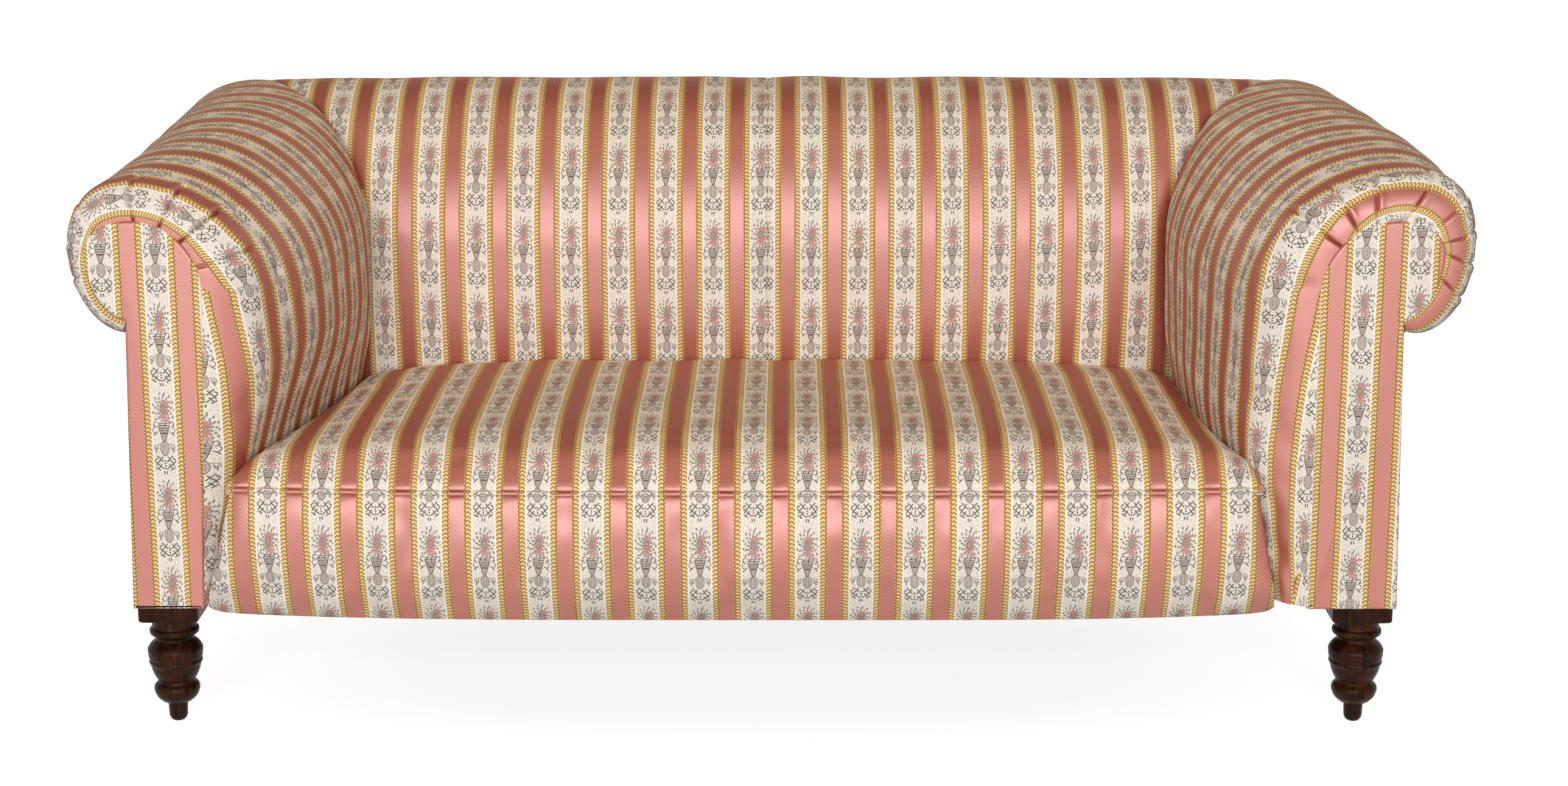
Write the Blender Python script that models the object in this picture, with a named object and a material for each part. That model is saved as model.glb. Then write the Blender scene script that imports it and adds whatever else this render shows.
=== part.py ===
"""Two-seat chesterfield sofa: timber frame, sprung seat, stuffing and covers.

Metres, +Z up, front towards -Y, left and right as seen from the front. The design frame has
y = 0 on the arm facings and grows to the back. An empty carries every piece and moves the
finished sofa so that the origin is on the floor under the middle of its box.
"""

import math
from dataclasses import dataclass

import bmesh
import bpy
import numpy as np

for stale in list(bpy.data.objects):
    bpy.data.objects.remove(stale, do_unlink=True)

# Fits shared by every piece
GAP = 0.0003
CLOTH = 0.002
SEAM_CLEARANCE = 0.003
MITRE_CLEARANCE = 0.014
FACING_SEAM = 0.0015
EDGE_BREAK = 0.003

# Timber frame, across the sofa
FRAME_INNER_X = 0.735
POST_WIDTH = 0.071
POST_FLARE = 0.009
ARM_RAIL_WIDTH = 0.065
STUFFING_RAIL_THICK = 0.038
UPRIGHT_WIDTH = 0.060

# Timber frame, front to back
FACING_PROUD = 0.003
FACING_THICK = 0.0147
SCROLL_BOARD_THICK = 0.0235
POST_DEPTH = 0.060
FRONT_RAIL_SETBACK = 0.010
SEAT_RAIL_THICK = 0.035
FRAME_DEPTH = 0.636
STILE_DEPTH = 0.070

# Timber frame, heights
LEG_HEIGHT = 0.174
SEAT_RAIL_DROP = 0.002
SEAT_RAIL_HEIGHT = 0.086
STUFFING_RAIL_Z = 0.300
STUFFING_RAIL_HEIGHT = 0.045
ARM_RAIL_Z = 0.600
ARM_RAIL_HEIGHT = 0.050
CORNER_BLOCK_REACH = 0.070
CORNER_BLOCK_HEIGHT = 0.050
TENON_LENGTH = 0.020
TENON_SHOULDER = 0.009
TENON_SPACING = 0.002

# Rolled arms and back: padding outside the frame
FACING_LAP = 0.028
FACING_FLARE = 0.009
ARM_PAD_FRONT = 0.090
ARM_PAD_BACK = 0.160
ARM_CREST_FRONT = 0.075
ARM_CREST_BACK = 0.012
FACING_CREST = 0.064
ARM_ROLL_OVERHANG = 0.0895
FACING_OVERHANG = 0.055
CORNER_OVERHANG = 0.080
BACK_PAD = 0.147
BACK_PAD_CORNER = 0.142
BACK_CREST = 0.073
BACK_ROLL_OVERHANG = 0.098
BACK_CORNER_OVERHANG = 0.080
ROLL_FOOT_STANDOFF = 0.009
FACING_FOOT_STANDOFF = 0.003
FRONT_ROUND = 0.038
ARM_BOW = 1.6
ARM_TURN_IN = 3.0

# Rolled arms and back: heights over the arm rail's top
FACING_RISE = 0.031
ARM_RISE = 0.081
CORNER_RISE = 0.119
BACK_RISE = 0.121
SHOULDER_DROP = 0.058
CORNER_SHOULDER_DROP = 0.070
ROLL_WIDEST_DROP = 0.010
CORNER_WIDEST_RISE = 0.035
ROLL_FOOT_DROP = 0.117
FACING_FOOT_DROP = 0.103
ARM_TUCK_Z = 0.270
BACK_TUCK_Z = 0.300
FACING_TUCK_Z = 0.190
DRAW_IN_Z = 0.430
DRAW_IN_SLOPE = 0.26
DRAW_IN_SOFTNESS = 0.030

# Seat
WELT_Z = 0.332
WELT_END_RISE = 0.006
WELT_RADIUS = 0.003
BORDER_PROUD = 0.014
BORDER_SWELL = 0.006
BORDER_BOTTOM_Z = 0.155
BORDER_END_RISE = 0.011
BORDER_HEM = 0.040
SEAT_EDGE_ROUND = 0.050
SEAT_EDGE_RISE = 0.050
SEAT_CROWN = 0.013
SEAT_SIDE_DROP = 0.016
END_POWER = 4

# Suspension
CANVAS_THICK = 0.001
WEB_THICK = 0.0015
WEB_WIDTH = 0.055
WEB_PITCH = 0.220
WEB_LENGTHWAYS = 7
WEB_CROSSWAYS = 3
WEB_CROSS_PITCH = 0.110
WEB_LAP = 0.025
SPRING_COLUMNS = 5
SPRING_WIRE = 0.0022
SPRING_END_RADIUS = 0.042
SPRING_CLEARANCE = 0.010
SPRING_WAIST_RADIUS = 0.027
SPRING_TURNS = 4
SPRING_END_FLATNESS = 0.8
SPRING_WAIST_POWER = 1.5
DUST_COVER_THICK = 0.001

# Legs
LEG_INSET = 0.025
LEG_BLOCK = 0.079
LEG_BLOCK_HEIGHT = 0.029
LEG_COLLAR_RADIUS = 0.0315
LEG_COLLAR_Z = 0.121
LEG_WAIST_RADIUS = 0.0258
LEG_WAIST_Z = 0.114
LEG_URN_RADIUS = 0.0358
LEG_URN_Z = 0.097
LEG_URN_SWELL = 0.3
LEG_NECK_RADIUS = 0.0255
LEG_NECK_Z = 0.058
LEG_RING_RADIUS = 0.0297
LEG_RING_Z = 0.045
LEG_RING_ROOT = 0.0165
LEG_SPIGOT_RADIUS = 0.0125
LEG_SPIGOT_HEIGHT = 0.026
LEG_TIP_RADIUS = 0.0085
LEG_TIP_HEIGHT = 0.006
LEG_PIN_RADIUS = 0.006
LEG_PIN_LENGTH = 0.040
STILE_FOOT = 0.038
STILE_RAKE = 0.030

# Facet counts
WALL_STEPS = 4
SHOULDER_STEPS = 5
ROLL_STEPS = 6
BAND_STEPS = 3
RUN_STEPS = 5
BACK_STEPS = 4
TURNED_SIDES = 24
SWELL_STEPS = 4
STILE_STEPS = 4
SPRING_STEPS = 8
SMOOTH_ANGLE = math.radians(38)
ROLL_SWEEP = math.radians(150)

# Places worked out from the sizes above
POST_OUTER_X = FRAME_INNER_X + POST_WIDTH
BOARD_FRONT_Y = FACING_THICK - FACING_PROUD + GAP
POST_FRONT_Y = BOARD_FRONT_Y + SCROLL_BOARD_THICK + GAP
POST_REAR_Y = POST_FRONT_Y + POST_DEPTH
FRONT_RAIL_Y = POST_FRONT_Y + FRONT_RAIL_SETBACK
STILE_FRONT_Y = POST_FRONT_Y + FRAME_DEPTH
STILE_REAR_Y = STILE_FRONT_Y + STILE_DEPTH
BACK_RAIL_Y = STILE_REAR_Y - SEAT_RAIL_THICK
SEAT_RAIL_Z = LEG_HEIGHT + SEAT_RAIL_DROP
SEAT_RAIL_TOP = SEAT_RAIL_Z + SEAT_RAIL_HEIGHT
RAIL_TOP = ARM_RAIL_Z + ARM_RAIL_HEIGHT
ARM_RAIL_OUTER_X = FRAME_INNER_X + ARM_RAIL_WIDTH
CANVAS_FACE_X = FRAME_INNER_X - GAP - CANVAS_THICK
CANVAS_FACE_Y = STILE_FRONT_Y - GAP - CANVAS_THICK
BACK_OUTER_Y = STILE_REAR_Y + BACK_ROLL_OVERHANG
BORDER_Y = -BORDER_PROUD
WELT_HALF = WELT_RADIUS * math.cos(math.pi / 6)
SEAT_COVER_Z = WELT_Z + WELT_HALF + GAP
BORDER_TOP_Z = WELT_Z - WELT_HALF - GAP
SEAT_PAD_Z = WELT_Z + GAP
SEAT_CANVAS_Z = SEAT_PAD_Z - GAP - CANVAS_THICK
WEB_TOP_Z = SEAT_RAIL_Z - GAP
LEG_X = POST_OUTER_X - LEG_INSET
LEG_Y = POST_FRONT_Y + POST_DEPTH / 2
FRONT_MOST_Y = BORDER_Y - BORDER_SWELL
MIDDLE_Y = (BACK_OUTER_Y + FRONT_MOST_Y) / 2


@dataclass(frozen=True)
class Look:
    """Colour, roughness and metallic value of one kind of piece."""

    colour: tuple[float, float, float]
    roughness: float
    metallic: float = 0.0


MAHOGANY = Look((0.075, 0.022, 0.010), 0.30)
BEECH = Look((0.42, 0.27, 0.14), 0.65)
STRIPE_CLOTH = Look((0.62, 0.36, 0.26), 0.70)
HORSEHAIR = Look((0.16, 0.11, 0.07), 0.95)
HESSIAN = Look((0.38, 0.28, 0.16), 0.95)
WEBBING = Look((0.30, 0.20, 0.12), 0.90)
SPRING_STEEL = Look((0.45, 0.36, 0.22), 0.40, 1.0)
DUST_CLOTH = Look((0.05, 0.05, 0.05), 0.95)

ROOT = bpy.data.objects.new("sofa", None)
bpy.context.scene.collection.objects.link(ROOT)
ROOT.location.y = -MIDDLE_Y


def place(name, data, look):
    """Puts one piece into the scene, on the sofa's empty, with a material of its own."""
    material = bpy.data.materials.new(name)
    material.use_nodes = True
    shader = material.node_tree.nodes["Principled BSDF"]
    shader.inputs["Base Color"].default_value = (*look.colour, 1.0)
    shader.inputs["Roughness"].default_value = look.roughness
    shader.inputs["Metallic"].default_value = look.metallic
    data.materials.append(material)
    piece = bpy.data.objects.new(name, data)
    bpy.context.scene.collection.objects.link(piece)
    piece.parent = ROOT
    return piece


def loft(name, rings, look, edge_break=0.0):
    """Joins rings of equally many points into one closed solid with flat ends."""
    shape = bmesh.new()
    loops = [[shape.verts.new(point) for point in ring] for ring in rings]
    count = len(loops[0])
    shape.faces.new(loops[0])
    shape.faces.new(loops[-1])
    for low, high in zip(loops, loops[1:]):
        for i in range(count):
            j = (i + 1) % count
            shape.faces.new((low[i], low[j], high[j], high[i]))
    bmesh.ops.recalc_face_normals(shape, faces=shape.faces)
    mesh = bpy.data.meshes.new(name)
    shape.to_mesh(mesh)
    shape.free()
    piece = place(name, mesh, look)
    if edge_break:
        bevel = piece.modifiers.new("eased edges", "BEVEL")
        bevel.width = edge_break
        bevel.segments = 1
    return piece


def corners(x_span, y_span, z):
    """The four corners of a level rectangle."""
    (x0, x1), (y0, y1) = x_span, y_span
    return [(x0, y0, z), (x1, y0, z), (x1, y1, z), (x0, y1, z)]


def block(name, x_span, y_span, z_span, look, edge_break=0.0):
    """A straight bar or board between two corners."""
    rings = [corners(x_span, y_span, z) for z in z_span]
    return loft(name, rings, look, edge_break)


def timber(name, x_span, y_span, z_span):
    """A planed frame member with eased edges."""
    return block(name, x_span, y_span, z_span, BEECH, EDGE_BREAK)


def mirrored_span(side, low, high):
    """An x span on the given side of the middle, in rising order."""
    return tuple(sorted((side * low, side * high)))


def combine(piece, tool, operation):
    """Cuts a hidden tool from a piece, or joins it on."""
    tool.hide_render = True
    tool.display_type = "WIRE"
    change = piece.modifiers.new(tool.name, "BOOLEAN")
    change.operation = operation
    change.object = tool
    change.solver = "EXACT"


def tenon(rail, post, span):
    """A tenon on the rail's end, and its mortise in the post one gap larger all round."""
    title = f"{rail.name}_{post.name}"
    combine(rail, block(f"{title}_tenon", *span, BEECH), "UNION")
    grown = [(low - GAP, high + GAP) for low, high in span]
    combine(post, block(f"{title}_mortise", *grown, BEECH), "DIFFERENCE")


def inside(span, shoulder):
    """A span with a shoulder taken off both ends."""
    return span[0] + shoulder, span[1] - shoulder


@dataclass(frozen=True)
class Roll:
    """One cross-section of a rolled arm or back, as reach from the sofa's middle or front and height.

    The wall rises from the tuck, drawn in at the seat, a quarter ellipse carries it to the crest,
    and a second ellipse turns it over the outer side and under to the foot.
    """

    wall: float
    crest: float
    outer: float
    foot: float
    tuck_z: float
    shoulder_z: float
    crest_z: float
    widest_z: float
    foot_z: float
    draw_in: float = DRAW_IN_SLOPE

    def outline(self):
        """The section's points from the tuck to the foot, as rows of reach and height."""
        rise = np.linspace(self.tuck_z, self.shoulder_z, WALL_STEPS, endpoint=False)
        below = DRAW_IN_Z - rise
        drawn = self.draw_in * (np.hypot(below, DRAW_IN_SOFTNESS) + below) / 2
        wall = np.column_stack((self.wall + drawn, rise))
        turn = np.linspace(0, math.pi / 2, SHOULDER_STEPS, endpoint=False)
        shoulder = np.column_stack((
            self.crest - (self.crest - self.wall) * np.cos(turn),
            self.shoulder_z + (self.crest_z - self.shoulder_z) * np.sin(turn),
        ))
        turn = np.linspace(0, ROLL_SWEEP, ROLL_STEPS)
        over = np.column_stack((
            self.crest + (self.outer - self.crest) * np.sin(turn),
            self.widest_z + (self.crest_z - self.widest_z) * np.cos(turn),
        ))
        return np.vstack((wall, shoulder, over, [(self.foot, self.foot_z)]))

    def grown(self, amount):
        """The same section with its edge moved outwards."""
        return Roll(
            self.wall - amount, self.crest, self.outer + amount, self.foot + amount, self.tuck_z,
            self.shoulder_z, self.crest_z + amount, self.widest_z, self.foot_z - amount, self.draw_in,
        )


FACING_ROLL = Roll(
    wall=FRAME_INNER_X - FACING_LAP,
    crest=FRAME_INNER_X + FACING_CREST,
    outer=POST_OUTER_X + FACING_OVERHANG,
    foot=POST_OUTER_X + FACING_FOOT_STANDOFF,
    tuck_z=FACING_TUCK_Z,
    shoulder_z=RAIL_TOP - SHOULDER_DROP,
    crest_z=RAIL_TOP + FACING_RISE,
    widest_z=RAIL_TOP - ROLL_WIDEST_DROP,
    foot_z=RAIL_TOP - FACING_FOOT_DROP,
    draw_in=FACING_FLARE / (DRAW_IN_Z - LEG_HEIGHT),
)
ARM_ROLL = Roll(
    wall=FRAME_INNER_X - ARM_PAD_FRONT,
    crest=FRAME_INNER_X + ARM_CREST_FRONT,
    outer=POST_OUTER_X + ARM_ROLL_OVERHANG,
    foot=POST_OUTER_X + ROLL_FOOT_STANDOFF,
    tuck_z=ARM_TUCK_Z,
    shoulder_z=RAIL_TOP - SHOULDER_DROP,
    crest_z=RAIL_TOP + ARM_RISE,
    widest_z=RAIL_TOP - ROLL_WIDEST_DROP,
    foot_z=RAIL_TOP - ROLL_FOOT_DROP,
)
CORNER_LEVELS = dict(
    tuck_z=BACK_TUCK_Z,
    shoulder_z=RAIL_TOP - CORNER_SHOULDER_DROP,
    crest_z=RAIL_TOP + CORNER_RISE,
    widest_z=RAIL_TOP + CORNER_WIDEST_RISE,
    foot_z=RAIL_TOP - ROLL_FOOT_DROP,
)
CORNER_ARM_ROLL = Roll(
    wall=FRAME_INNER_X - ARM_PAD_BACK,
    crest=FRAME_INNER_X + ARM_CREST_BACK,
    outer=POST_OUTER_X + CORNER_OVERHANG,
    foot=POST_OUTER_X + ROLL_FOOT_STANDOFF,
    **CORNER_LEVELS,
)
CORNER_BACK_ROLL = Roll(
    wall=STILE_FRONT_Y - BACK_PAD_CORNER,
    crest=STILE_FRONT_Y + BACK_CREST,
    outer=STILE_REAR_Y + BACK_CORNER_OVERHANG,
    foot=STILE_REAR_Y + ROLL_FOOT_STANDOFF,
    **CORNER_LEVELS,
)
BACK_ROLL = Roll(
    wall=STILE_FRONT_Y - BACK_PAD,
    crest=STILE_FRONT_Y + BACK_CREST,
    outer=BACK_OUTER_Y,
    foot=STILE_REAR_Y + ROLL_FOOT_STANDOFF,
    tuck_z=BACK_TUCK_Z,
    shoulder_z=RAIL_TOP - SHOULDER_DROP,
    crest_z=RAIL_TOP + BACK_RISE,
    widest_z=RAIL_TOP + CORNER_WIDEST_RISE,
    foot_z=RAIL_TOP - ROLL_FOOT_DROP,
)


def core(inner, outer, tuck_z, foot_z):
    """What the stuffing wraps: up the canvas, over the rail and down its outer side to the foot."""
    last = WALL_STEPS + SHOULDER_STEPS + ROLL_STEPS
    stops = (0, WALL_STEPS + SHOULDER_STEPS // 2, WALL_STEPS + SHOULDER_STEPS + 2, last - 1, last)
    reach = (inner - GAP, inner - GAP, outer + GAP, outer + GAP, outer + GAP)
    top = RAIL_TOP + GAP
    height = (tuck_z, top, top, (2 * top + foot_z) / 3, foot_z)
    index = np.arange(last + 1)
    return np.column_stack((np.interp(index, stops, reach), np.interp(index, stops, height)))


def section(points, y):
    """Rows of reach and height as points of the right arm at one depth."""
    return np.column_stack((points[:, 0], np.full(len(points), y), points[:, 1]))


def corner_line(arm, back):
    """The mitre where the arm and the back meet: reach from both, height from either."""
    return np.column_stack((arm[:, 0], back[:, 0], arm[:, 1]))


def arm_grids():
    """The right arm's outer face and its core, as grids: along the section, then front to back.

    The face starts round the facing and curls over a quarter circle to the arm's full section.
    From there it runs to the mitre in a bow: it rises early and turns in earlier still.
    """
    facing = FACING_ROLL.grown(FACING_SEAM).outline()
    full = ARM_ROLL.outline()
    mitre = corner_line(CORNER_ARM_ROLL.outline(), CORNER_BACK_ROLL.outline())
    foot_z = RAIL_TOP - FACING_FOOT_DROP
    arm_core = core(CANVAS_FACE_X, post_face(foot_z), ARM_TUCK_Z, foot_z)
    corner_core = core(CANVAS_FACE_X, post_face(foot_z), BACK_TUCK_Z, foot_z)
    back_core = core(CANVAS_FACE_Y, STILE_REAR_Y, BACK_TUCK_Z, foot_z)
    core_end = corner_line(corner_core, back_core)
    shift = np.array((0, SEAM_CLEARANCE, 0))
    outer, inner = [], []
    for step in np.linspace(0, math.pi / 2, BAND_STEPS + 1):
        y = FRONT_ROUND * (1 - math.cos(step))
        outer.append(section(facing + (full - facing) * math.sin(step), y))
        inner.append(section(facing, min(y, POST_FRONT_Y - GAP)))
    front, front_core = section(full, FRONT_ROUND), section(arm_core, FRONT_RAIL_Y - GAP)
    start = (FRONT_RAIL_Y - FRONT_ROUND) / (STILE_FRONT_Y - FRONT_ROUND)
    mitre_share = 1 - MITRE_CLEARANCE / (STILE_FRONT_Y - FRONT_ROUND)
    for share in np.concatenate(([start], np.linspace(0, 1, RUN_STEPS + 1)[1:-1], [mitre_share, 1])):
        bowed = np.array((1 - (1 - share) ** ARM_TURN_IN, share, 1 - (1 - share) ** ARM_BOW))
        outer.append(front + (mitre - shift - front) * bowed)
        inner.append(front_core + (core_end - shift - front_core) * (share - start) / (1 - start))
    return np.stack(outer, axis=1), np.stack(inner, axis=1)


def back_grids(steps):
    """The back's outer face and its core, from the right mitre (first step) to the left one."""
    middle, corner = BACK_ROLL.outline(), CORNER_BACK_ROLL.outline()
    reach = CORNER_ARM_ROLL.outline()[:, 0] - SEAM_CLEARANCE
    foot_z = RAIL_TOP - FACING_FOOT_DROP
    back_core = core(CANVAS_FACE_Y, STILE_REAR_Y, BACK_TUCK_Z, foot_z)
    arm_core = core(CANVAS_FACE_X, post_face(foot_z), BACK_TUCK_Z, foot_z)
    core_reach = arm_core[:, 0] - SEAM_CLEARANCE
    outer, inner = [], []
    for step in steps:
        points = middle + (corner - middle) * step**2
        outer.append(np.column_stack((reach * step, points)))
        inner.append(np.column_stack((core_reach * step, back_core)))
    return np.stack(outer, axis=1), np.stack(inner, axis=1)


def wall_reach(roll, z):
    """How far the inside wall of a section lies out at some heights."""
    below = DRAW_IN_Z - np.asarray(z)
    return roll.wall + roll.draw_in * (np.hypot(below, DRAW_IN_SOFTNESS) + below) / 2


def end_lift(across):
    """How much of an end's rise or fall applies at shares of the half width."""
    return np.abs(across) ** END_POWER


def seat_grid():
    """The seat's top face, rows front to back and columns right to left.

    The front edge is a quarter ellipse above the welt. Behind it the top crowns along half a sine
    wave and falls away towards the arms.
    """
    turn = np.linspace(0, math.pi / 2, SHOULDER_STEPS)
    edge_y = BORDER_Y + SEAT_EDGE_ROUND * (1 - np.cos(turn))
    edge_z = SEAT_COVER_Z + SEAT_EDGE_RISE * np.sin(turn)
    top_z = edge_z[-1]
    rear_y = wall_reach(BACK_ROLL, top_z) - SEAM_CLEARANCE
    share = np.linspace(0, 1, RUN_STEPS + 2)[1:]
    y = np.concatenate((edge_y, edge_y[-1] + (rear_y - edge_y[-1]) * share))
    z = np.concatenate((edge_z, top_z + SEAT_CROWN * np.sin(math.pi * share)))
    bow = 1 - (1 - np.clip((y - FRONT_ROUND) / (rear_y - FRONT_ROUND), 0, 1)) ** ARM_TURN_IN
    front_half, rear_half = wall_reach(ARM_ROLL, z), wall_reach(CORNER_ARM_ROLL, z)
    half = front_half + (rear_half - front_half) * bow - SEAM_CLEARANCE
    across = np.linspace(1, -1, 2 * BACK_STEPS + 3)
    depth = np.clip((z - SEAT_COVER_Z) / SEAT_EDGE_RISE, 0, 1)
    change = end_lift(across) * (WELT_END_RISE - (WELT_END_RISE + SEAT_SIDE_DROP) * depth[:, None])
    depth_y = np.repeat(y[:, None], len(across), axis=1)
    return np.stack((np.outer(half, across), depth_y, z[:, None] + change), axis=2)


def border_grid():
    """The front border's face, rows from the welt down and columns left to right, swelling a little."""
    drop = np.linspace(0, 1, RUN_STEPS)[:, None]
    across = np.linspace(-1, 1, 2 * BACK_STEPS + 1)
    top = BORDER_TOP_Z + WELT_END_RISE * end_lift(across)
    bottom = BORDER_BOTTOM_Z + BORDER_END_RISE * end_lift(across)
    z = top + (bottom - top) * drop
    y = np.broadcast_to(BORDER_Y - BORDER_SWELL * np.sin(math.pi * drop), z.shape)
    half = wall_reach(ARM_ROLL, z) - SEAM_CLEARANCE
    return np.stack((half * across, y, z), axis=2)


def normals(grid):
    """Outward unit normals of a grid of points."""
    along, across = np.gradient(grid, axis=0), np.gradient(grid, axis=1)
    direction = np.cross(along, across)
    return direction / np.linalg.norm(direction, axis=2, keepdims=True)


def between(name, outer, inner, look, side=1):
    """Closes the space between two grids of equal size into one solid, mirrored on side -1."""
    rows, columns = outer.shape[:2]
    index = np.arange(rows * columns).reshape(rows, columns)
    a, b, c, d = index[:-1, :-1], index[1:, :-1], index[1:, 1:], index[:-1, 1:]
    face = np.concatenate((
        np.stack((a, b, c), axis=-1).reshape(-1, 3),
        np.stack((a, c, d), axis=-1).reshape(-1, 3),
    ))
    back = face[:, ::-1] + index.size
    rim = np.concatenate((index[:, 0], index[-1, 1:], index[-2::-1, -1], index[0, -2:0:-1]))
    after = np.roll(rim, -1)
    edge = np.concatenate((
        np.column_stack((after, rim, rim + index.size)),
        np.column_stack((after, rim + index.size, after + index.size)),
    ))
    points = np.concatenate((outer.reshape(-1, 3), inner.reshape(-1, 3))) * (side, 1, 1)
    mesh = bpy.data.meshes.new(name)
    mesh.from_pydata(points.tolist(), [], np.concatenate((face, back, edge))[:, ::side].tolist())
    mesh.shade_smooth()
    mesh.set_sharp_from_angle(angle=SMOOTH_ANGLE)
    return place(name, mesh, look)


def cover(name, grid, side=1):
    """A cloth skin under a grid."""
    return between(name, grid, grid - CLOTH * normals(grid), STRIPE_CLOTH, side)


def beneath(grid):
    """The face of the stuffing, one gap under the cloth."""
    return grid - (CLOTH + GAP) * normals(grid)


def outline_loft(name, points, y_span, look):
    """An outline of reach and height, sawn from stock that lies between two depths."""
    return loft(name, [[(x, y, z) for x, z in points] for y in y_span], look)


def facing_outline(side, inset):
    """The scroll-headed outline of an arm front down to the seat frame, as x and z."""
    head = FACING_ROLL.grown(-inset).outline()
    bottom = LEG_HEIGHT + inset
    inner_foot = wall_reach(FACING_ROLL, bottom) + inset
    outer_foot = POST_OUTER_X + FACING_FOOT_STANDOFF + POST_FLARE - inset
    points = np.vstack(([(inner_foot, bottom)], head, [(outer_foot, bottom)]))
    return points * np.array((side, 1))


def ring(x, y, z, radius, squareness=0.0):
    """A level ring of points round a turned piece, or round its square block."""
    angle = np.arange(TURNED_SIDES) * 2 * math.pi / TURNED_SIDES
    around = np.column_stack((np.cos(angle), np.sin(angle)))
    stretch = (1 - squareness) + squareness / np.abs(around).max(axis=1)
    around *= radius * stretch[:, None]
    return [(x + dx, y + dy, z) for dx, dy in around]


def swell(low, high, bulge, steps):
    """Heights and radii between two turned points, swelling outwards along half a sine wave."""
    share = np.linspace(0, 1, steps)
    (z0, r0), (z1, r1) = low, high
    radius = r0 + (r1 - r0) * share + bulge * abs(r1 - r0) * np.sin(math.pi * share)
    return list(zip(z0 + (z1 - z0) * share, radius))


def leg_profile():
    """Heights and radii from the spigot's tip up to the collar under the square block."""
    spigot = [
        (0.0, LEG_TIP_RADIUS),
        (LEG_TIP_HEIGHT, LEG_SPIGOT_RADIUS - GAP),
        (LEG_SPIGOT_HEIGHT, LEG_SPIGOT_RADIUS),
        (LEG_SPIGOT_HEIGHT, LEG_RING_ROOT),
    ]
    widest, neck = (LEG_RING_Z, LEG_RING_RADIUS), (LEG_NECK_Z, LEG_NECK_RADIUS)
    urn, waist = (LEG_URN_Z, LEG_URN_RADIUS), (LEG_WAIST_Z, LEG_WAIST_RADIUS)
    under_ring = swell(spigot[-1], widest, LEG_URN_SWELL, SWELL_STEPS)[1:]
    over_ring = swell(widest, neck, LEG_URN_SWELL, SWELL_STEPS)[1:]
    body = swell(neck, urn, LEG_URN_SWELL / 2, SWELL_STEPS + 1)[1:]
    shoulder = swell(urn, waist, LEG_URN_SWELL, SWELL_STEPS)[1:]
    collar = [(LEG_COLLAR_Z - EDGE_BREAK, LEG_WAIST_RADIUS)]
    collar.append((LEG_COLLAR_Z, LEG_COLLAR_RADIUS - EDGE_BREAK))
    collar.append((LEG_COLLAR_Z + EDGE_BREAK, LEG_COLLAR_RADIUS))
    return spigot + under_ring + over_ring + body + shoulder + collar


def front_leg(name, side):
    """A turned leg: spigot, ring, urn, collar, square block and the pin that enters the post."""
    x, y, top = side * LEG_X, LEG_Y, LEG_HEIGHT - GAP
    rings = [ring(x, y, z, radius) for z, radius in leg_profile()]
    rings.append(ring(x, y, top - LEG_BLOCK_HEIGHT, LEG_COLLAR_RADIUS))
    rings.append(ring(x, y, top - LEG_BLOCK_HEIGHT, LEG_BLOCK / 2 - EDGE_BREAK, 1.0))
    rings.append(ring(x, y, top - LEG_BLOCK_HEIGHT + EDGE_BREAK, LEG_BLOCK / 2, 1.0))
    rings.append(ring(x, y, top, LEG_BLOCK / 2, 1.0))
    rings.append(ring(x, y, top, LEG_PIN_RADIUS))
    rings.append(ring(x, y, top + LEG_PIN_LENGTH, LEG_PIN_RADIUS))
    leg = loft(name, rings, MAHOGANY)
    leg.data.shade_smooth()
    leg.data.set_sharp_from_angle(angle=SMOOTH_ANGLE)
    return leg


def pin_socket(name, side):
    """The hole in a post that takes a leg's pin."""
    rings = [
        ring(side * LEG_X, LEG_Y, z, LEG_PIN_RADIUS + GAP)
        for z in (LEG_HEIGHT - LEG_BLOCK_HEIGHT, LEG_HEIGHT + LEG_PIN_LENGTH + GAP)
    ]
    return loft(name, rings, BEECH)


def post_face(z):
    """How far out a front post's outer face lies at some height."""
    return POST_OUTER_X + POST_FLARE * (ARM_RAIL_Z - z) / (ARM_RAIL_Z - LEG_HEIGHT)


def front_post(name, side):
    """A front post, its outer face flaring a little to the foot, bored for the leg's pin."""
    rings = []
    for z in (LEG_HEIGHT, ARM_RAIL_Z - GAP):
        span = mirrored_span(side, FRAME_INNER_X, post_face(z))
        rings.append(corners(span, (POST_FRONT_Y, POST_REAR_Y), z))
    post = loft(name, rings, BEECH, EDGE_BREAK)
    combine(post, pin_socket(f"{name}_socket", side), "DIFFERENCE")
    return post


def back_stile(name, side):
    """A back upright in one piece with its swept leg, which tapers and rakes to the rear."""
    rings = []
    for share in np.linspace(0, 1, STILE_STEPS):
        taper, rake = 1 - share, STILE_RAKE * (1 - share) ** 2
        half_x = POST_WIDTH / 2 + (STILE_FOOT - POST_WIDTH) / 2 * taper
        half_y = STILE_DEPTH / 2 + (STILE_FOOT - STILE_DEPTH) / 2 * taper
        x, y = FRAME_INNER_X + POST_WIDTH / 2, STILE_FRONT_Y + STILE_DEPTH / 2 + rake
        span = mirrored_span(side, x - half_x, x + half_x)
        rings.append(corners(span, (y - half_y, y + half_y), share * LEG_HEIGHT))
    span = mirrored_span(side, FRAME_INNER_X, POST_OUTER_X)
    rings.append(corners(span, (STILE_FRONT_Y, STILE_REAR_Y), ARM_RAIL_Z - GAP))
    return loft(name, rings, BEECH)


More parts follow.
